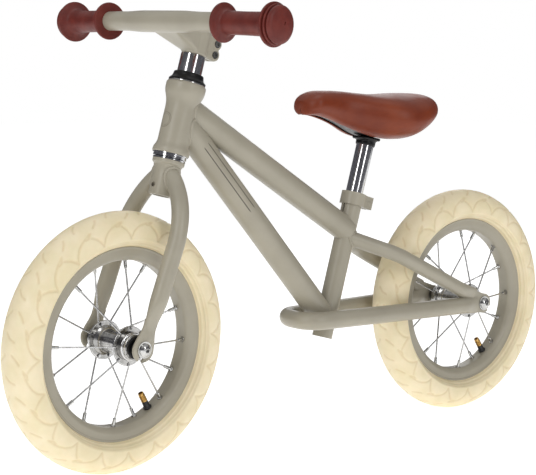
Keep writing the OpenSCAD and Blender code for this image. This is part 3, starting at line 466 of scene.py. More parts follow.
# Bare turned steel, hidden in the bearings: grey with an oil film
STEEL = finish("oiled_bare_steel", "7E7D7A", "969592", 0.32, patch=12, grain=1.0, depth=0.01,
               Metallic=1.0, Coat_Weight=0.3, Coat_Roughness=0.15)
# Glass-filled nylon, moulded: black, with a fine spark-eroded texture
NYLON = finish("moulded_black_nylon", "0B0B0C", "141415", 0.36, patch=18, grain=0.6, depth=0.012,
               spread=0.08, Specular_IOR_Level=0.3)
# Pigmented soft rubber, moulded: matt, with a dusty bloom and a fine mould texture
GRIP_RUBBER = finish("moulded_rust_rubber", "5C201A", "6C2A22", 0.46, patch=14, grain=0.9,
                     depth=0.03, spread=0.08, Specular_IOR_Level=0.35)
# Gum rubber, vulcanised in a polished mould: cream, with painted shade, darker and yellower, in its grooves and on its
# sidewalls
TYRE_RUBBER = finish("cream_gum_rubber", "E6D8B2", "EEE0BF", 0.46, patch=22, grain=1.1, depth=0.02,
                     spread=0.07, Subsurface_Weight=0.04, Subsurface_Scale=0.002)
mix_painted_shade(TYRE_RUBBER, "groove_depth_and_shade", "CDB383", 0.4)
# Butyl rubber: black, slightly greasy
BUTYL = finish("butyl_rubber", "101011", "1B1B1C", 0.42, patch=10, grain=1.0, depth=0.02)
# Turned brass valve: warm yellow metal with lathe marks
BRASS = finish("turned_brass", "B08A4A", "CBA464", 0.24, patch=5, grain=0.8, depth=0.01,
               Metallic=1.0)
# Polyurethane leathercloth: tan, semi-gloss, with a pebbled grain about 1.1 mm across
LEATHER = finish("tan_leathercloth", "6E2A12", "7F3618", 0.42, patch=45, grain=1.1, depth=0.025,
                 spread=0.05, pattern="cells", Specular_IOR_Level=0.35)
# Moulded flexible polyurethane foam, hidden under the cover: open cells about 0.8 mm across
FOAM = finish("polyurethane_foam", "CFC08A", "DDD09C", 0.9, patch=20, grain=0.8, depth=0.2,
              pattern="cells")
# Dark brown transfer film under the lacquer: thin, flat lines
TRANSFER = finish("dark_brown_transfer", "3A322B", "463D35", 0.38, patch=20, grain=1.2, depth=0.004)
# Darker, smoother taupe: painted shade round the holes' edges, and the print of the badge rings on the head tube
HOLE_SHADE_AND_BADGE = finish("taupe_hole_shade_and_badge_print", "6F6A5E", "7B7568", 0.3, patch=10, grain=1.0, depth=0.01)
brushed(SPOKE_STEEL, (1500, 1500, 300), 0.006)
brushed(HUB_CHROME, (300, 2000, 300), 0.006)

SLOT_FINISH = {"taupe_paint": PAINT, "chrome_plate": CHROME, "hub_chrome": HUB_CHROME,
               "bolt_chrome": BOLT_CHROME, "spoke_steel": SPOKE_STEEL, "plain_steel": STEEL,
               "black_plastic": NYLON, "grip_rubber": GRIP_RUBBER, "cream_tyre": TYRE_RUBBER,
               "butyl_rubber": BUTYL, "valve_brass": BRASS, "saddle_leather": LEATHER, "foam": FOAM}
for part in frame["record"]["subparts"]:
    cad = nodes[part["node"]].data
    cad.materials.clear()
    cad.materials.append(SLOT_FINISH[part["material_slot"]])


# ---- Frame tubes ----

def head_tube():
    """Flares smoothly into a collar at each end."""
    bore = HEAD_R - 1.7
    top, wide = HEAD_TOP + 4, 23.2
    outline = [(bore, HEAD_BASE, 0.4), (21.5, HEAD_BASE, 1.4), (21.5, HEAD_BASE + 5, 3),
               (HEAD_R, HEAD_BASE + 12, 9), (HEAD_R, top - 24, 12), (wide, top - 11, 5),
               (wide, top - 2, 3), (21.3, top, 1), (20.7, top, 0.3), (20.7, HEAD_TOP - 3, 0.3),
               (bore, HEAD_TOP - 3, 0.4)]
    obj = make("head_tube_shell", lathe(rounded(outline, steps=7), 128), HEAD, PAINT)
    show(obj, "frame", "taupe_paint", "head_tube")


def headset_top():
    """A black cover nut over the bearing, with the bright lip of the cup showing below it."""
    low, high = HEAD_TOP + 5.2, HEAD_TOP + 15.6
    cover = [(14.6, low, 0.3), (21.7, low, 0.5), (21.7, low + 1.4, 0.8), (18.4, low + 4.6, 2),
             (17.2, high, 1.2), (14.6, high, 0.4)]
    show(make("headset_cover_nut", lathe(rounded(cover, steps=5), 96), HEAD, NYLON, 50),
         "fork", "black_plastic", "headset_cover")
    lip = [(20.6, HEAD_TOP + 3.2, 0.3), (21.6, HEAD_TOP + 3.2, 0.3), (21.6, low - 0.4, 0.5),
           (20.6, low - 0.4, 0.3)]
    show(make("headset_cup_lip", lathe(rounded(lip, steps=3), 96), HEAD, CHROME, 50),
         "frame", "chrome_plate")


def round_section(radius):
    return lambda gone, left: (radius, radius, 0)


def pressed(radius, wide, thin, reach, at_start=False, shift=0.0):
    """A round tube whose end is pressed flat over its last reach millimetres."""
    def section(gone, left):
        t = 1 - smooth_step((gone if at_start else left) / reach)
        return radius + (thin - radius) * t, radius + (wide - radius) * t, shift * t
    return section


def rear_triangle():
    """The loop that hugs the wheel, and the two stays above it, all pressed flat at their tails."""
    loop = [(-12, -27.3, 150), (149, -40.1, 150), (268, -47, 150)]
    corners = [(x, -y, z) for x, y, z in loop[::-1]] + loop
    path = bent_path(corners, 23.5)

    def section(gone, left):
        t = 1 - smooth_step(min(gone, left) / 30)
        return 11.1 - 7.4 * t, 11.1 + 1.2 * t, 0
    obj = make("chain_stay_tube", sweep(path, (0, 0, 1), section, 40), ROW, PAINT)
    show(obj, "frame", "taupe_paint", "chain_stay_loop")
    for side, sign in (("left", 1), ("right", -1)):
        start = at(SEAT, 0, 0, 103) - np.array((0, 3, 0))
        path = bent_path([start, (128, -37.9, 225), (259, -47, 161)], 60)
        up = unit(np.cross(path[-1] - path[0], (0, 1, 0.35)))
        shape = sweep(path, up, pressed(9.5, 11.5, 3.2, 30), 36)
        stay = make(f"seat_stay_tube_{side}", shape, MIRROR if sign < 0 else ROW, PAINT)
        core = make("core", lathe([(0, 60), (12.4, 60), (12.4, 150), (0, 150)], 64, closed=False),
                    SEAT, PAINT)
        other_side = make("other_side", box((0, 50 * sign, 250), (800, 100, 600)), ROW, PAINT)
        stay = cut(stay, core, other_side)
        show(stay, "frame", "taupe_paint", f"seat_stay_{side}")


def box(middle, size):
    points = [tuple(m + s * (2 * int(b) - 1) / 2 for m, s, b in zip(middle, size, f"{k:03b}"))
              for k in range(8)]
    faces = [(0, 1, 3, 2), (4, 6, 7, 5), (0, 4, 5, 1), (2, 3, 7, 6), (0, 2, 6, 4), (1, 5, 7, 3)]
    return points, faces


def weld(name, body, tube, wall, bead=1.9, place=ROW):
    """A smoothed weld bead where a tube meets a round wall. Each is (start, direction, radius);
    the tube's start is inside the wall and its direction leads away from it."""
    (start, along, radius), (foot, axis, wall_r) = tube, wall
    start, foot, along, axis = (np.asarray(v, float) for v in (start, foot, along, axis))
    along, axis = unit(along), unit(axis)
    side = unit(np.cross(along, axis))
    over = np.cross(side, along)
    path = []
    steps = 120
    for k in range(steps):
        a = 2 * math.pi * k / steps
        p = start + radius * (math.cos(a) * side + math.sin(a) * over) - foot
        q, d = p - (p @ axis) * axis, along - (along @ axis) * axis
        lean, gap = q @ d, q @ q - wall_r ** 2
        reach = (-lean + math.sqrt(max(0.0, lean * lean - (d @ d) * gap))) / (d @ d)
        path.append(foot + p + reach * along)
    ripple = lambda gone, left: (bead + 0.12 * math.sin(gone * 2.4),) * 2 + (0,)
    obj = make(name, sweep(path, along, ripple, 12, closed=True), place, PAINT, 60)
    return show(obj, body, "taupe_paint")


def frame_welds():
    head_axis, head_foot = at(HEAD, 0, 0, 1) - at(HEAD, 0, 0, 0), at(HEAD, 0, 0, 0)
    rise, foot = at(SEAT, 0, 0, 1) - at(SEAT, 0, 0, 0), at(SEAT, 0, 0, 0)
    top = at(HEAD, 0, 0, HEAD_BASE + 58), at(SEAT, 0, 0, 111)
    down = at(HEAD, 0, 0, HEAD_BASE + 43.5), at(SEAT, 0, 0, -7)
    head_wall = (head_foot, head_axis, HEAD_R)
    seat_wall = (foot, rise, SEAT_TUBE_R)
    weld("weld_top_to_head", "frame", (top[0], top[1] - top[0], TOP_TUBE_R), head_wall)
    weld("weld_down_to_head", "frame", (down[0], down[1] - down[0], TOP_TUBE_R), head_wall)
    weld("weld_top_to_seat", "frame", (top[1], top[0] - top[1], 12.3), seat_wall, 3.2)
    for side, sign in (("left", 1), ("right", -1)):
        start = at(SEAT, 0, 0, 103) - np.array((0, 3 * sign, 0))
        weld(f"weld_stay_{side}", "frame",
             (start, np.array((128, -37.9 * sign, 225)) - start, 9.5), seat_wall, 1.6)


def down_tube_lines():
    """Two plain dark lines along each side of the down tube."""
    a, b = at(HEAD, 0, 0, HEAD_BASE + 43.5), at(SEAT, 0, 0, -7)
    along = unit(b - a)
    over = np.cross(along, (0, -1, 0))
    shapes = []
    for sign in (1, -1):
        for tilt in (14, -14):
            out = math.cos(math.radians(tilt)) * np.array((0, -sign, 0)) \
                + math.sin(math.radians(tilt)) * over
            path = [a + along * t + out * 15.87 for t in np.linspace(42, 148, 40)]
            ease = lambda gone, left: (0.55 * smooth_step(min(gone, left) / 4 + 0.15), 0.12, 0)
            shapes.append(sweep(path, lambda p, o=out: o, ease, 8))
    show(make("down_tube_lines", joined(*shapes), ROW, TRANSFER), "frame", "black_plastic")


def head_rings():
    """Two thin plain rings on the front of the head tube."""
    shapes = []
    for radius, half in ((8.6, 0.3), (7.0, 0.18)):
        path = []
        for k in range(72):
            a = 2 * math.pi * k / 72
            wrap, up = radius * math.cos(a) / HEAD_R, radius * math.sin(a)
            path.append((-HEAD_R * math.cos(wrap), HEAD_R * math.sin(wrap), HEAD_BASE + 37 + up))
        outwards = lambda p: (p[0], p[1], 0)
        shapes.append(sweep(path, outwards, lambda g, l, h=half: (h, 0.14, 0), 8, closed=True))
    show(make("head_tube_rings", joined(*shapes), HEAD, HOLE_SHADE_AND_BADGE), "frame", "black_plastic")


head_tube()
headset_top()
rear_triangle()
frame_welds()
down_tube_lines()
head_rings()


# ---- Fork ----

def fork_neck():
    """The fork's neck, dished out to a thin lip, with a bolt hole through it."""
    bore = 10.3
    outline = [(bore, CROWN_BASE, 0.4), (15, CROWN_BASE, 1.2), (15, CROWN_TOP - 13, 8),
               (16.4, CROWN_TOP - 6, 4), (18.75, CROWN_TOP - 4.2, 1.2), (18.75, CROWN_TOP, 0.8),
               (bore, CROWN_TOP, 0.4)]
    neck = make("fork_neck", lathe(rounded(outline, steps=6), 96), FORK, PAINT)
    across = FORK @ moved(-30, 0, CROWN_HOLE) @ turned(90, "Y")
    drill = make("drill", rod(2.5, 60, 32), across, PAINT)
    show(cut(neck, drill), "fork", "taupe_paint", "fork_crown")
    # A darker taupe ring round the mouth of the bolt hole: painted shade
    edge = lathe(rounded([(2.3, -0.5, 0.2), (3.1, -0.5, 0.2), (3.1, 0.25, 0.2), (2.3, 0.25, 0.2)],
                         steps=3), 32)
    hole_shade_ring = make("fork_hole_painted_shade", edge, FORK @ moved(-15, 0, CROWN_HOLE) @ turned(-90, "Y"), HOLE_SHADE_AND_BADGE)
    show(hole_shade_ring, "fork", "taupe_paint")


def blade_outline():
    """A leg's flat end, seen from the side: round below, with its slot open downwards."""
    half, slot, neck = 14.5, 3.3, 8.6
    tip = math.degrees(math.asin(slot / half))
    outline = [(-neck, 34), (-neck, 24), (-neck - 1.2, 18), (-half + 1.8, 9)]
    for a in np.linspace(180, 270 - tip, 20):
        outline.append((half * math.cos(math.radians(a)), half * math.sin(math.radians(a))))
    outline += [(-slot, 0)]
    for a in np.linspace(180, 0, 14):
        outline.append((slot * math.cos(math.radians(a)), slot * math.sin(math.radians(a))))
    outline += [(slot, -half + 0.4)]
    for a in np.linspace(270 + tip, 360, 20):
        outline.append((half * math.cos(math.radians(a)), half * math.sin(math.radians(a))))
    return outline + [(half - 1.8, 9), (neck + 1.2, 18), (neck, 24), (neck, 34)]


def fork_legs():
    corner = 164
    lean = math.degrees(math.atan(RAKE / corner))
    reach = 43 / math.tan(math.radians(48))
    for side, place in (("left", FORK), ("right", FORK @ MIRROR)):
        foot = (-RAKE * (1 - 20 / corner), -LEG_Y, 20)
        path = bent_path([(0, -6, corner + reach), (0, -LEG_Y, corner), foot], 100, 3)
        # The leg's tube is round down to 60 above the axle, then pressed thin to meet the eye
        shape = sweep(path, (1, 0, 0.05), pressed(10, 8.7, 2, 40, shift=2), 40)
        outline = plate(blade_outline(), 4, 0.7)
        end = put(outline, moved(-RAKE, -BLADE_Y, 0) @ turned(lean, "Y") @ turned(90, "X"))
        leg = make(f"fork_blade_{side}", joined(shape, end), place, PAINT, 50)
        core = make("core", lathe([(0, 150), (14.6, 150), (14.6, 218), (0, 218)], 64, closed=False),
                    FORK, PAINT)
        show(cut(leg, core, sharp=50), "fork", "taupe_paint", f"fork_leg_{side}")
        start, out = np.array((0, -6, corner + reach)), np.array((0, -43, -reach))
        weld(f"weld_leg_{side}", "fork", (start, out, 10), ((0, 0, 0), (0, 0, 1), 15), 2.2,
             place=place)


def stem():
    """Sleeve, rear ears and the flared neck to the bar, cast as one skin."""
    sleeve = lathe(rounded([(0, SLEEVE_BASE, 0), (SLEEVE_R, SLEEVE_BASE, 2.5),
                            (SLEEVE_R, SLEEVE_TOP, 1.5), (0, SLEEVE_TOP, 0)], closed=False),
                   64, closed=False)
    ears = [rounded_box((17, 0, (SLEEVE_BASE + SLEEVE_TOP) / 2), (17, 17, 29), 4)]
    for up in (8, 21):
        lobe = lathe(rounded([(0, -8.5, 0), (7.6, -8.5, 1.2), (7.6, 8.5, 1.2), (0, 8.5, 0)],
                             closed=False), 40, closed=False)
        ears.append(put(lobe, moved(25, 0, SLEEVE_BASE + up) @ turned(90, "X")))
    bar_end = lathe([(0, -21), (8, -21), (9.6, -19.5), (9.6, 19.5), (8, 21), (0, 21)],
                    32, closed=False)
    bar_end = put(bar_end, moved(-BAR_REACH + 6, 0, BAR_HEIGHT - 1) @ turned(90, "X"))
    root = lathe([(0, SLEEVE_BASE + 3), (12, SLEEVE_BASE + 3), (12, SLEEVE_TOP - 3),
                  (0, SLEEVE_TOP - 3)], 32, closed=False)
    neck = hull(bar_end[0] + put(root, moved(-3))[0])
    collar = put(lathe([(0, -22), (12.1, -22), (12.1, 22), (0, 22)], 48, closed=False),
                 moved(-BAR_REACH, 0, BAR_HEIGHT) @ turned(90, "X"))
    body = make("stem_casting", joined(sleeve, *ears, neck, collar), FORK, PAINT)
    body = cast(body, 0.75, 22)
    slit = make("slit", box((34, 0, 355), (40, 2.4, 60)), FORK, PAINT)
    wells = []
    for up in (8, 21):
        spot = FORK @ moved(25, -4.5, SLEEVE_BASE + up) @ turned(90, "X")
        wells.append(make("well", rod(4.5, 12, 40), spot, PAINT))
    show(cut(body, slit, *wells, sharp=50), "fork", "taupe_paint", "stem_sleeve", "stem_neck")


def hull(points):
    mesh = bmesh.new()
    for p in points:
        mesh.verts.new(p)
    made = bmesh.ops.convex_hull(mesh, input=mesh.verts)
    inner = [v for v in made["geom_interior"] if isinstance(v, bmesh.types.BMVert)]
    bmesh.ops.delete(mesh, geom=inner, context="VERTS")
    mesh.verts.index_update()
    out = [tuple(v.co) for v in mesh.verts], [tuple(v.index for v in f.verts) for f in mesh.faces]
    mesh.free()
    return out


def rounded_box(middle, size, radius):
    """A box with its long upright edges rounded in the XZ plane."""
    (x, y, z), (w, d, h) = middle, size
    flat = [(w / 2, h / 2, radius), (-w / 2, h / 2, radius), (-w / 2, -h / 2, radius),
            (w / 2, -h / 2, radius)]
    return put(plate(rounded(flat, steps=6), d, 1.0), moved(x, y, z) @ turned(90, "X"))


def handlebar():
    """Swells at its middle, where the stem holds it, and sweeps back a little to the grips."""
    back = (BAR_HALF - BAR_BEND_AT) * math.tan(math.radians(3.5))
    left = [(-BAR_REACH, -BAR_BEND_AT, BAR_HEIGHT), (-BAR_REACH + back, -BAR_HALF + 4, BAR_HEIGHT)]
    corners = [(x, -y, z) for x, y, z in left[::-1]] + left
    path = bent_path(corners, 120, 3)
    half_run = np.sum(np.linalg.norm(np.diff(path, axis=0), axis=1)) / 2

    def section(gone, left):
        t = smooth_step((abs(gone - half_run) - 33) / 34)
        r = BAR_MIDDLE_R + (BAR_R - BAR_MIDDLE_R) * t
        return r, r, 0
    show(make("handlebar_tube", sweep(path, (0, 0, 1), section, 48), FORK, PAINT),
         "fork", "taupe_paint", "handlebar")
    for side, place in (("left", FORK), ("right", FORK @ MIRROR)):
        end = Vector(left[1]) + Vector((0.25, -4, 0))
        line = (Vector(left[1]) - Vector(left[0])).normalized()
        start = end - line * (GRIP_LENGTH - 6)
        turn = Matrix.Translation(start) @ line.to_track_quat("Z", "Y").to_matrix().to_4x4()
        grip(side, place @ turn)


def grip(side, place):
    """Inner flange, hand part, two deep rings and a domed end with a small vent slit."""
    end = GRIP_LENGTH + 3.5
    bore = BAR_R + 0.05
    outline = [(bore, -1.2, 0.5), (21.2, -1.2, 0.8), (21.8, 0, 0.8), (21.8, 2, 0.9), (15.5, 3.8, 2),
               (13, 7, 4), (12.7, 30, 20), (13.1, end - 27, 8), (14.6, end - 20, 3),
               (20.5, end - 16.4, 2), (23.9, end - 15.2, 1), (24, end - 12.6, 0.9),
               (18, end - 12, 0.4), (18, end - 11, 0.4), (22, end - 10.8, 0.8), (22, end - 8.6, 0.8),
               (17.5, end - 8.2, 0.4), (17.5, end - 7.2, 0.4), (20.7, end - 7, 0.9),
               (20.7, end - 4.6, 2), (17.8, end - 2, 5), (9, end - 0.3, 8), (0, end, 0)]
    body = lathe(rounded(outline, closed=False, steps=5) + [(0, end - 7), (bore, end - 7)], 112)
    obj = make(f"grip_sleeve_{side}", body, place, GRIP_RUBBER, 50)
    slit = make("slit", box((1.5, 2.0, end), (1.3, 3.4, 3)), place, GRIP_RUBBER)
    show(cut(obj, slit, sharp=50), "fork", "grip_rubber", f"grip_{side}")


fork_neck()
fork_legs()
stem()
handlebar()


# ---- Wheels ----

TREAD_UNITS = 20


def tread_curves():
    """Grooves of one tread unit as lines of (turn in units, angle from the crown in degrees)."""
    long_arc = [(1.0, 97), (0.9, 80), (0.75, 68), (0.52, 58), (0.25, 51)]
    short_arc = [(0.0, 97), (0.06, 86), (0.15, 74), (0.28, 63)]
    hook = [(0.25, 51), (0.31, 56), (0.36, 60), (0.46, 60)]
    dash = [(-0.12, 22), (-0.04, 32), (0.08, 41)]
    centre = [(0.38, 0), (0.5, 12), (0.56, 26)]
    for corners in (long_arc, short_arc, hook, dash, centre):
        us, angles = zip(*corners)
        t = np.linspace(0, 1, 26)
        key = np.linspace(0, 1, len(corners))
        yield np.interp(t, key, us), np.radians(np.interp(t, key, angles))


def tyre(end, place):
    """Moulded tyre: leaf-shaped grooves from bead ring to crown on both sides, raised rings above
    the rim, and a hidden inner wall that closes it."""
    per_unit, columns = 30, 30 * TREAD_UNITS
    theta = np.radians(np.linspace(-105, 105, 88))
    wall_r = np.linspace(118.5, RIM_R + 0.5, 22)[1:]
    wall_y = np.interp(wall_r, [RIM_R + 0.5, 118.5], [RIM_HALF + 0.5, 24.15])
    unit_turn = 2 * math.pi / TREAD_UNITS
    u = np.arange(per_unit) / per_unit
    rows_r = TYRE_MID_R + TYRE_ROUND_R * np.cos(theta)
    gap = np.full((len(theta), per_unit), 1e9)
    for us, angles in tread_curves():
        for flip, shift in ((1, 0.0), (-1, 0.5)):
            for wrap in (-1, 0, 1):
                for cu, ca in zip(us, angles):
                    du = (u[None] - (cu + shift + wrap)) * unit_turn * rows_r[:, None]
                    dv = (theta[:, None] - flip * ca) * TYRE_ROUND_R
                    gap = np.minimum(gap, np.hypot(du, dv))
    # The groove mask also carries painted shade: the darker colour is mixed in along the grooves
    groove_depth_and_shade = np.clip(1 - (gap / 1.75) ** 2, 0, 1) ** 1.2
    groove_depth_and_shade = np.tile(groove_depth_and_shade, (1, TREAD_UNITS))
    spin = np.arange(columns) * 2 * math.pi / columns
    near = np.abs(np.degrees(theta))
    ring = 0.55 * np.exp(-((near - 101) / 1.6) ** 2)
    crest = TYRE_ROUND_R + ring[:, None] - 0.8 * groove_depth_and_shade
    rows_rad = TYRE_MID_R + crest * np.cos(theta)[:, None]
    rows_ax = crest * np.sin(theta)[:, None]
    rings = 0.5 * np.exp(-((wall_r - 116.6) / 0.55) ** 2) + 0.5 * np.exp(-((wall_r - 113.6) / 0.6) ** 2) \
        - 0.25 * np.exp(-((wall_r - 112.2) / 0.4) ** 2)
    for sign in (-1, 1):
        block_r = np.repeat((wall_r - rings * 0.6)[:, None], columns, 1)
        block_y = np.repeat((sign * (wall_y + rings * 0.7))[:, None], columns, 1)
        # Painted shade on the sidewalls: 0.35 of the darker colour, none on the raised rings' tops, more in the dip
        # below them
        shade_mark = np.repeat(np.clip(0.35 - rings, 0, 1)[:, None], columns, 1)
        if sign < 0:
            start = (block_r[::-1], block_y[::-1], shade_mark[::-1])
        else:
            finish_rows = (block_r, block_y, shade_mark)
    hidden = np.array([(RIM_R - 0.6, RIM_HALF - 2), (RIM_R - 9, RIM_HALF - 2), (RIM_R - 9, -RIM_HALF + 2),
                       (RIM_R - 0.6, -RIM_HALF + 2)])
    radii = np.vstack([start[0], rows_rad, finish_rows[0], np.repeat(hidden[:, :1], columns, 1)])
    heights = np.vstack([start[1], rows_ax, finish_rows[1], np.repeat(hidden[:, 1:], columns, 1)])
    shade_marks = np.vstack([start[2], groove_depth_and_shade, finish_rows[2], np.zeros((4, columns))])
    points = np.stack([radii * np.cos(spin), radii * np.sin(spin), heights], 2).reshape(-1, 3)
    obj = make(f"{end}_tyre_moulding", (points, grid_faces(len(radii), columns, wrap_rows=True)),
               place, TYRE_RUBBER, 60)
    shade_mark = obj.data.attributes.new("groove_depth_and_shade", "FLOAT", "POINT")
    shade_mark.data.foreach_set("value", shade_marks.reshape(-1).astype(np.float32))
    show(obj, f"{end}_wheel", "cream_tyre", f"{end}_tyre")
    nib = lathe([(0, 0), (0.28, 0), (0.16, 1.6), (0, 1.7)], 6, closed=False)
    nibs = joined(*(put(nib, turned(turn, "Z") @ moved(RIM_R + 1.6, 0, side * (RIM_HALF + 1.2))
                        @ turned(-35 if side > 0 else -145, "Y")) for side, turn in ((1, 0), (-1, 9))))
    hairs = repeated(f"{end}_tyre_nibs", nibs, TREAD_UNITS, 4, place, TYRE_RUBBER)
    show(hairs, f"{end}_wheel", "cream_tyre")


def rim(end, place):
    half = RIM_HALF
    lip = 1.2
    outline = [(RIM_BASE_R, half - 5.5, 2.5), (RIM_BASE_R, 5.5 - half, 2.5), (RIM_BASE_R + 5, 0.4 - half, 3),
               (RIM_R - 2.5, -half, 0.5), (RIM_R - 1.5, -half - lip * 0.5, 0.6), (RIM_R + 0.2, -half - lip * 0.5, 0.6),
               (RIM_R + 0.2, 1.6 - half, 0.4), (RIM_BASE_R + 6, 1.8 - half, 1), (RIM_BASE_R + 1.6, 6 - half, 1),
               (RIM_BASE_R + 1.6, half - 6, 1), (RIM_BASE_R + 6, half - 1.8, 1), (RIM_R + 0.2, half - 1.6, 0.4),
               (RIM_R + 0.2, half + lip * 0.5, 0.6), (RIM_R - 1.5, half + lip * 0.5, 0.6), (RIM_R - 2.5, half, 0.5),
               (RIM_BASE_R + 5, half - 0.4, 3)]
    obj = make(f"{end}_rim_channel", lathe(rounded(outline, steps=4), 200), place, PAINT, 50)
    hole = place @ turned(valve_turn(end), "Z") @ moved(RIM_BASE_R - 5) @ turned(90, "Y")
    drill = make("drill", rod(4.3, 12, 40), hole, PAINT)
    show(cut(obj, drill, sharp=50), f"{end}_wheel", "taupe_paint", f"{end}_rim")


def valve_turn(end):
    """How far the valve is turned from +X round the axle, in degrees, from the CAD valve."""
    place = FRONT if end == "front" else REAR
    low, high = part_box(f"{end}_valve")
    local = place.inverted() @ ((low + high) / 2 / MM)
    return math.degrees(math.atan2(local.y, local.x))


def spokes(end, place):
    """Eight pairs of spokes, one to each flange, with elbows, heads, nipples, and darker rings round the nipple holes
    that are painted shade.
    """
    step = 22.5
    start = valve_turn(end) + step / 2
    wires, nipples, hole_shades = [], [], []
    for turn, sign in ((0, 1), (step, -1)):
        spin = turned(turn, "Z")
        foot, rim_end = np.array((19.5, 0, sign * 25.3)), np.array((97.8, 0, sign * 3.0))
        run = unit(rim_end - foot)
        length = np.linalg.norm(rim_end - foot)
        inside = (19.5, 0, sign * 19.6)
        path = bent_path([inside, (19.5, 0, sign * 25.2), rim_end - run * 6], 1.6, 1.2)
        wires.append(put(sweep(path, (0, 1, 0), round_section(1.0), 12), spin))
        head = lathe([(0, -0.9), (1.9, -0.7), (1.9, 0), (0, 0.1)], 12, closed=False)
        wires.append(put(head, spin @ moved(*inside) @ turned(0 if sign > 0 else 180, "X")))
        aim = Vector(run).to_track_quat("Z", "Y").to_matrix().to_4x4()
        barrel = rounded([(1.05, length - 13, 0.2), (1.7, length - 13, 0.5), (2.0, length - 12, 0.5),
                          (2.0, length - 4.2, 0.3), (3.0, length - 3.0, 0.5), (3.0, length - 1.6, 0.3),
                          (2.0, length - 1.2, 0.3), (2.0, length + 0.4, 0.2), (1.05, length + 0.4, 0.2)], steps=2)
        to_foot = spin @ moved(*foot) @ aim
        nipples.append(put(lathe(barrel, 16), to_foot))
        # A darker taupe ring round each nipple hole in the rim bed: painted shade
        at_wall = spin @ moved(RIM_BASE_R, 0, sign * 3.8) @ turned(90, "Y")
        ring_outline = rounded([(2.3, -0.35, 0.2), (3.6, -0.35, 0.2), (3.6, 0.4, 0.2), (2.3, 0.4, 0.2)], steps=2)
        hole_shades.append(put(lathe(ring_outline, 24), at_wall))
    body = f"{end}_wheel"
    show(repeated(f"{end}_spoke_wires", joined(*wires), 8, start, place, SPOKE_STEEL, 50),
         body, "spoke_steel", f"{end}_spokes")
    show(repeated(f"{end}_spoke_nipples", joined(*nipples), 8, start, place, BOLT_CHROME, 40),
         body, "spoke_steel", f"{end}_nipples")
    show(repeated(f"{end}_nipple_hole_shade", joined(*hole_shades), 8, start, place, HOLE_SHADE_AND_BADGE, 40),
         body, "taupe_paint")


def hub(end, place):
    """Dust caps, stacked rings and a dished barrel over the CAD hub."""
    caps, rings, barrel = [], [], []
    for sign in (1, -1):
        flip = turned(0 if sign > 0 else 180, "X")
        caps.append(put(lathe(rounded([(9.2, 34.6, 0.3), (13.2, 34.6, 0.5), (12.6, 36.4, 0.8), (9.2, 36.9, 0.5)],
                                      steps=3), 64), flip))
        rings.append(put(lathe(rounded([(13.9, 27.0, 0.3), (16.6, 27.0, 0.9), (16.2, 28.6, 0.7), (15.0, 29.0, 0.5),
                                        (15.2, 31.2, 0.8), (14.6, 33.0, 0.7), (13.9, 33.0, 0.3)], steps=3), 72), flip))
        rings.append(put(lathe(rounded([(21.4, 23.4, 0.2), (22.7, 23.2, 0.5), (22.9, 22.0, 0.6), (22.7, 20.8, 0.5),
                                        (21.4, 20.6, 0.2)], steps=3), 96), flip))
    outline = [(10.9, -20.7, 0.2), (18, -20.7, 1.5), (12.6, -17.5, 5), (11.6, -8, 8), (11.6, 8, 8), (12.6, 17.5, 5),
               (18, 20.7, 1.5), (10.9, 20.7, 0.2)]
    barrel = lathe(rounded(outline, steps=5), 72)
    body = f"{end}_wheel"
    show(make(f"{end}_dust_caps", joined(*caps), place, NYLON), body, "black_plastic")
    show(make(f"{end}_hub_rings", joined(*rings), place, CHROME), body, "hub_chrome")
    show(make(f"{end}_hub_barrel", barrel, place, HUB_CHROME), body, "hub_chrome")


def valve(end, place):
    """Black rubber stem with a collar and a threaded brass end."""
    root = RIM_BASE_R + 4.6
    spot = place @ turned(valve_turn(end), "Z") @ moved(root) @ turned(-90, "Y")
    stem_line = [(0, 0, 0), (3.9, 0, 0.2), (3.9, 4.4, 0.4), (5.2, 5.0, 0.8), (5.0, 7.0, 1.0), (3.9, 7.8, 0.8),
                 (3.7, 15.6, 0.6), (0, 15.8, 0)]
    body = f"{end}_wheel"
    show(make(f"{end}_valve_rubber", lathe(rounded(stem_line, closed=False, steps=3), 40, closed=False),
              spot, BUTYL), body, "butyl_rubber", f"{end}_valve")
    thread = [(0, 15.4), (3.7, 15.4), (3.7, 16.6)]
    for k in range(8):
        thread += [(3.35, 17.0 + k * 0.9), (3.7, 17.3 + k * 0.9), (3.7, 17.6 + k * 0.9)]
    thread += [(3.35, 24.6), (3.3, 26.6), (2.6, 27), (2.2, 27), (2.0, 24), (0, 24)]
    show(make(f"{end}_valve_thread", lathe(thread, 40, closed=False), spot, BRASS, 30),
         body, "valve_brass")


for wheel_end, wheel_place in (("front", FRONT), ("rear", REAR)):
    tyre(wheel_end, wheel_place)
    rim(wheel_end, wheel_place)
    spokes(wheel_end, wheel_place)
    hub(wheel_end, wheel_place)
    valve(wheel_end, wheel_place)


# ---- Saddle ----

seat_top = at(SEAT, 0, 0, BRACKET_STATION)
NOSE_X, TOP_Z = seat_top[0] - 110, seat_top[2] + 70


def ease(a, b, t):
    return a + (b - a) * smooth_step(t)


def saddle_half(s):
    if s < 0.08:
        end = math.sqrt(max(0, 1 - (1 - s / 0.08) ** 2))
    else:
        end = math.sqrt(max(0, 1 - (max(0, s - 0.66) / 0.34) ** 2))
    return end * ease(NOSE_HALF, SADDLE_HALF, (s - 0.22) / 0.42)


def saddle_crest(s):
    return TOP_Z - 13 * max(0, 1 - s / 0.13) ** 2 - 4.5 * smooth_step((s - 0.2) / 0.35) \
        + 1.5 * smooth_step((s - 0.6) / 0.2) - 14 * max(0, (s - 0.84) / 0.16) ** 2


def saddle_skirt(s):
    return TOP_Z - ease(30, 62, (s - 0.02) / 0.58) + 26 * smooth_step((s - 0.66) / 0.34)


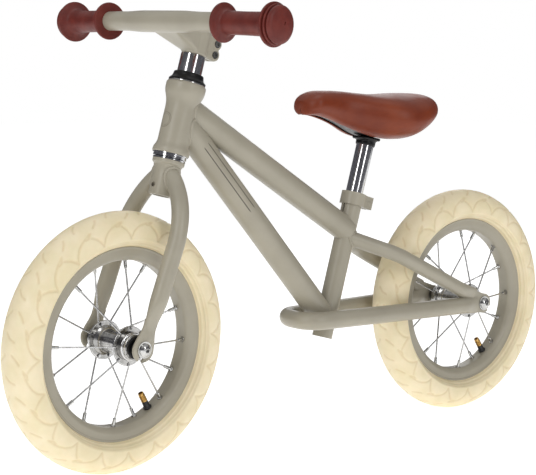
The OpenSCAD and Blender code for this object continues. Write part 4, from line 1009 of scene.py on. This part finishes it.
def saddle_section(s, angles, inset=0.0, lift=0.0):
    """Points round one cross-section, at angles from the rider's right side over the top."""
    half = max(0.6, saddle_half(s) - inset)
    floor = saddle_skirt(s) + lift
    top = max(floor + 1, saddle_crest(s) - inset)
    waist = floor + 0.4 * (top - floor)
    out = []
    for a in angles:
        c = math.copysign(abs(math.cos(a)) ** 0.75, math.cos(a))
        v = math.copysign(abs(math.sin(a)) ** 0.75, math.sin(a))
        y = half * c * (1 + 0.14 * v if v < 0 else 1)
        z = waist + v * (top - waist) if v > 0 else waist + v * (waist - floor)
        out.append((NOSE_X + inset + s * (SADDLE_LENGTH - 2 * inset), y, z))
    return out


def saddle_cover():
    """Leathercloth over moulded padding, open below, with its edge rolled under."""
    wall, tip = 2.4, 0.002
    stations = [0.5 - 0.5 * math.cos(math.pi * k / 90) for k in range(91)]
    over = np.radians(np.linspace(-72, 252, 76))
    points = []
    for s in stations:
        outer = saddle_section(min(1 - tip, max(tip, s)), over)
        inner = saddle_section(min(1 - tip, max(tip, s)), over[::-1], wall, 1.2)
        if s in (stations[0], stations[-1]):
            # Each end closes to one point outside and one inside
            ahead = -1 if s == stations[0] else 1
            middle = np.mean(outer, axis=0)
            outer = [tuple(middle + (ahead * 0.6, 0, 0))] * len(over)
            inner = [tuple(middle - (ahead * wall, 0, 0))] * len(over)
        points += outer + inner
    faces = grid_faces(len(stations), 2 * len(over))
    obj = make("saddle_leather", (points, faces), ROW, LEATHER, 70)
    soften = obj.modifiers.new("soften", "SMOOTH")
    soften.factor, soften.iterations = 0.5, 4
    obj = baked(obj)
    finish_mesh(obj.data, 70)
    show(obj, "saddle", "saddle_leather", "saddle_cover", "saddle_foam")


PAN_WALL = 2.4


def saddle_pan():
    """Stiff moulded pan under the padding, its rim standing just inside the cover's edge."""
    stations = [min(0.99, max(0.01, 0.5 - 0.5 * math.cos(math.pi * k / 60))) for k in range(61)]
    under = np.radians(np.linspace(180, 360, 40))
    points = []
    for s in stations:
        low = saddle_section(s, under, 3.2, 2.2)
        high = [(x, y * 0.97, z + PAN_WALL) for x, y, z in low[::-1]]
        points += low + high
    per = 80
    faces = grid_faces(len(stations), per)
    faces += [tuple(range(per))[::-1], tuple(range((len(stations) - 1) * per, len(stations) * per))]
    show(make("saddle_pan", (points, faces), ROW, NYLON, 40), "saddle", "black_plastic", "saddle_base")


def saddle_bracket():
    """Cast bracket: a neck over the post that opens into the plate under the pan."""
    place = SEAT @ moved(0, 0, BRACKET_STATION)
    neck = lathe(rounded([(0, 0, 0), (12.6, 0, 1.2), (12.6, 7, 4), (14.5, 9, 2), (14.5, 10, 1),
                          (0, 10, 0)], closed=False), 48, closed=False)
    top = put(plate(rounded([(15, 13, 5), (-15, 13, 5), (-15, -13, 5), (15, -13, 5)], steps=6), 4, 1.2),
              moved(0, 0, 7.5) @ turned(-7, "Y") @ moved(0, 0, 2))
    obj = cast(make("bracket_casting", joined(neck, top), place, NYLON), 0.8, 5)
    bore = make("bore", lathe([(0, -2), (11.2, -2), (11.2, 6.9), (0, 6.9)], 64, closed=False), place, NYLON)
    show(cut(obj, bore, sharp=50), "saddle", "black_plastic", "saddle_bracket",
         "saddle_screws")


def clamp_plug():
    """Painted plug over the blind end of the seat clamp's bolt."""
    low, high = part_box("seat_clamp_bolt")
    bolt = SEAT.inverted() @ ((low + high) / 2 / MM)
    disc = lathe(rounded([(0, -1, 0), (2.9, -1, 0), (2.9, 0.3, 0.3), (0, 0.3, 0)], closed=False),
                 32, closed=False)
    spot = SEAT @ moved(bolt.x, -8, bolt.z) @ turned(90, "X")
    show(make("clamp_bolt_plug", disc, spot, PAINT), "frame", "taupe_paint")


saddle_cover()
saddle_pan()
saddle_bracket()
clamp_plug()


# ---- Studio ----

HORIZON_LIGHT, OVERHEAD_LIGHT = 0.26, 0.52


def studio():
    world = bpy.data.worlds.new("studio_air")
    scene.world = world
    world.use_nodes = True
    sky = world.node_tree
    air = sky.nodes["Background"]
    air.inputs["Color"].default_value = linear("FFFFFF")
    # White where the camera looks past the floor; for light, dim round the horizon and brighter
    # overhead, which gives the chrome its dark edges
    where = add(sky, "ShaderNodeTexCoord").outputs["Generated"]
    height = add(sky, "ShaderNodeSeparateXYZ", {"Vector": where}).outputs["Z"]
    dome = add(sky, "ShaderNodeMapRange", {"Value": height, "From Min": 0.0, "From Max": 0.8,
                                           "To Min": HORIZON_LIGHT, "To Max": OVERHEAD_LIGHT})
    seen = add(sky, "ShaderNodeLightPath").outputs["Is Camera Ray"]
    level = add(sky, "ShaderNodeMapRange", {"Value": seen, "To Min": dome.outputs[0], "To Max": 1.0})
    sky.links.new(level.outputs[0], air.inputs["Strength"])
    floor_finish = finish("matt_studio_paper", "F7F7F7", "F9F9F9", 0.9, patch=900, grain=3, depth=0.01,
                          Emission_Color=(1, 1, 1, 1), Emission_Strength=0.58, Specular_IOR_Level=0.1)
    floor = make("studio_floor", ([(-9000, -9000, -0.3), (9000, -9000, -0.3), (9000, 9000, -0.3),
                                   (-9000, 9000, -0.3)], [(0, 1, 2, 3)]), ROW, floor_finish)

    def softbox(name, spot, size, power, aim=(0, 0, 0.28)):
        light = bpy.data.lights.new(name, "AREA")
        light.shape, light.size, light.size_y, light.energy = "RECTANGLE", size[0], size[1], power
        lamp = bpy.data.objects.new(name, light)
        scene.collection.objects.link(lamp)
        lamp.location = spot
        lamp.rotation_euler = (Vector(aim) - Vector(spot)).to_track_quat("-Z", "Y").to_euler()

    softbox("key_softbox", (-2.1, -0.6, 1.5), (0.45, 1.6), 12)
    softbox("side_softbox", (-0.05, -2.3, 1.3), (0.45, 1.6), 11)
    softbox("top_softbox", (0.0, 0.1, 2.4), (1.6, 1.2), 7)
    softbox("back_softbox", (1.6, 1.7, 1.2), (1.0, 1.2), 6)
    dark = finish("grey_studio_card", "5A5A60", "64646A", 0.95, patch=200, grain=3, depth=0.01)
    # A dark ring behind the softboxes, seen only in reflections, gives the chrome its contrast
    wall_r, wall_low, wall_top = 2600, 5, 1700
    ring = lathe([(wall_r, wall_low), (wall_r, wall_top)], 64, closed=False)
    wall = make("reflected_dark_ring", ring, ROW, dark)
    wall.visible_camera = wall.visible_diffuse = wall.visible_shadow = False
    scene.view_settings.view_transform = "Standard"
    scene.view_settings.look = "None"
    scene.view_settings.exposure = 0.0


def camera():
    data = bpy.data.cameras.new("camera")
    data.lens, data.sensor_width = 98.4, 36
    data.clip_start, data.clip_end = 0.05, 50
    obj = bpy.data.objects.new("camera", data)
    scene.collection.objects.link(obj)
    yaw, pitch, roll = math.radians(-39.52), math.radians(6.53), math.radians(0.70)
    target = Vector((-0.05814, 0, 0.25557))
    back = Vector((math.sin(yaw) * math.cos(pitch), -math.cos(yaw) * math.cos(pitch), math.sin(pitch)))
    obj.location = target + back * 1.7839
    right = Vector((math.cos(yaw), math.sin(yaw), 0))
    up = back.cross(right)
    tilted_right = right * math.cos(roll) + up * math.sin(roll)
    tilted_up = up * math.cos(roll) - right * math.sin(roll)
    turn = Matrix((tilted_right, tilted_up, back)).transposed()
    obj.rotation_euler = turn.to_euler()
    scene.camera = obj


studio()
camera()
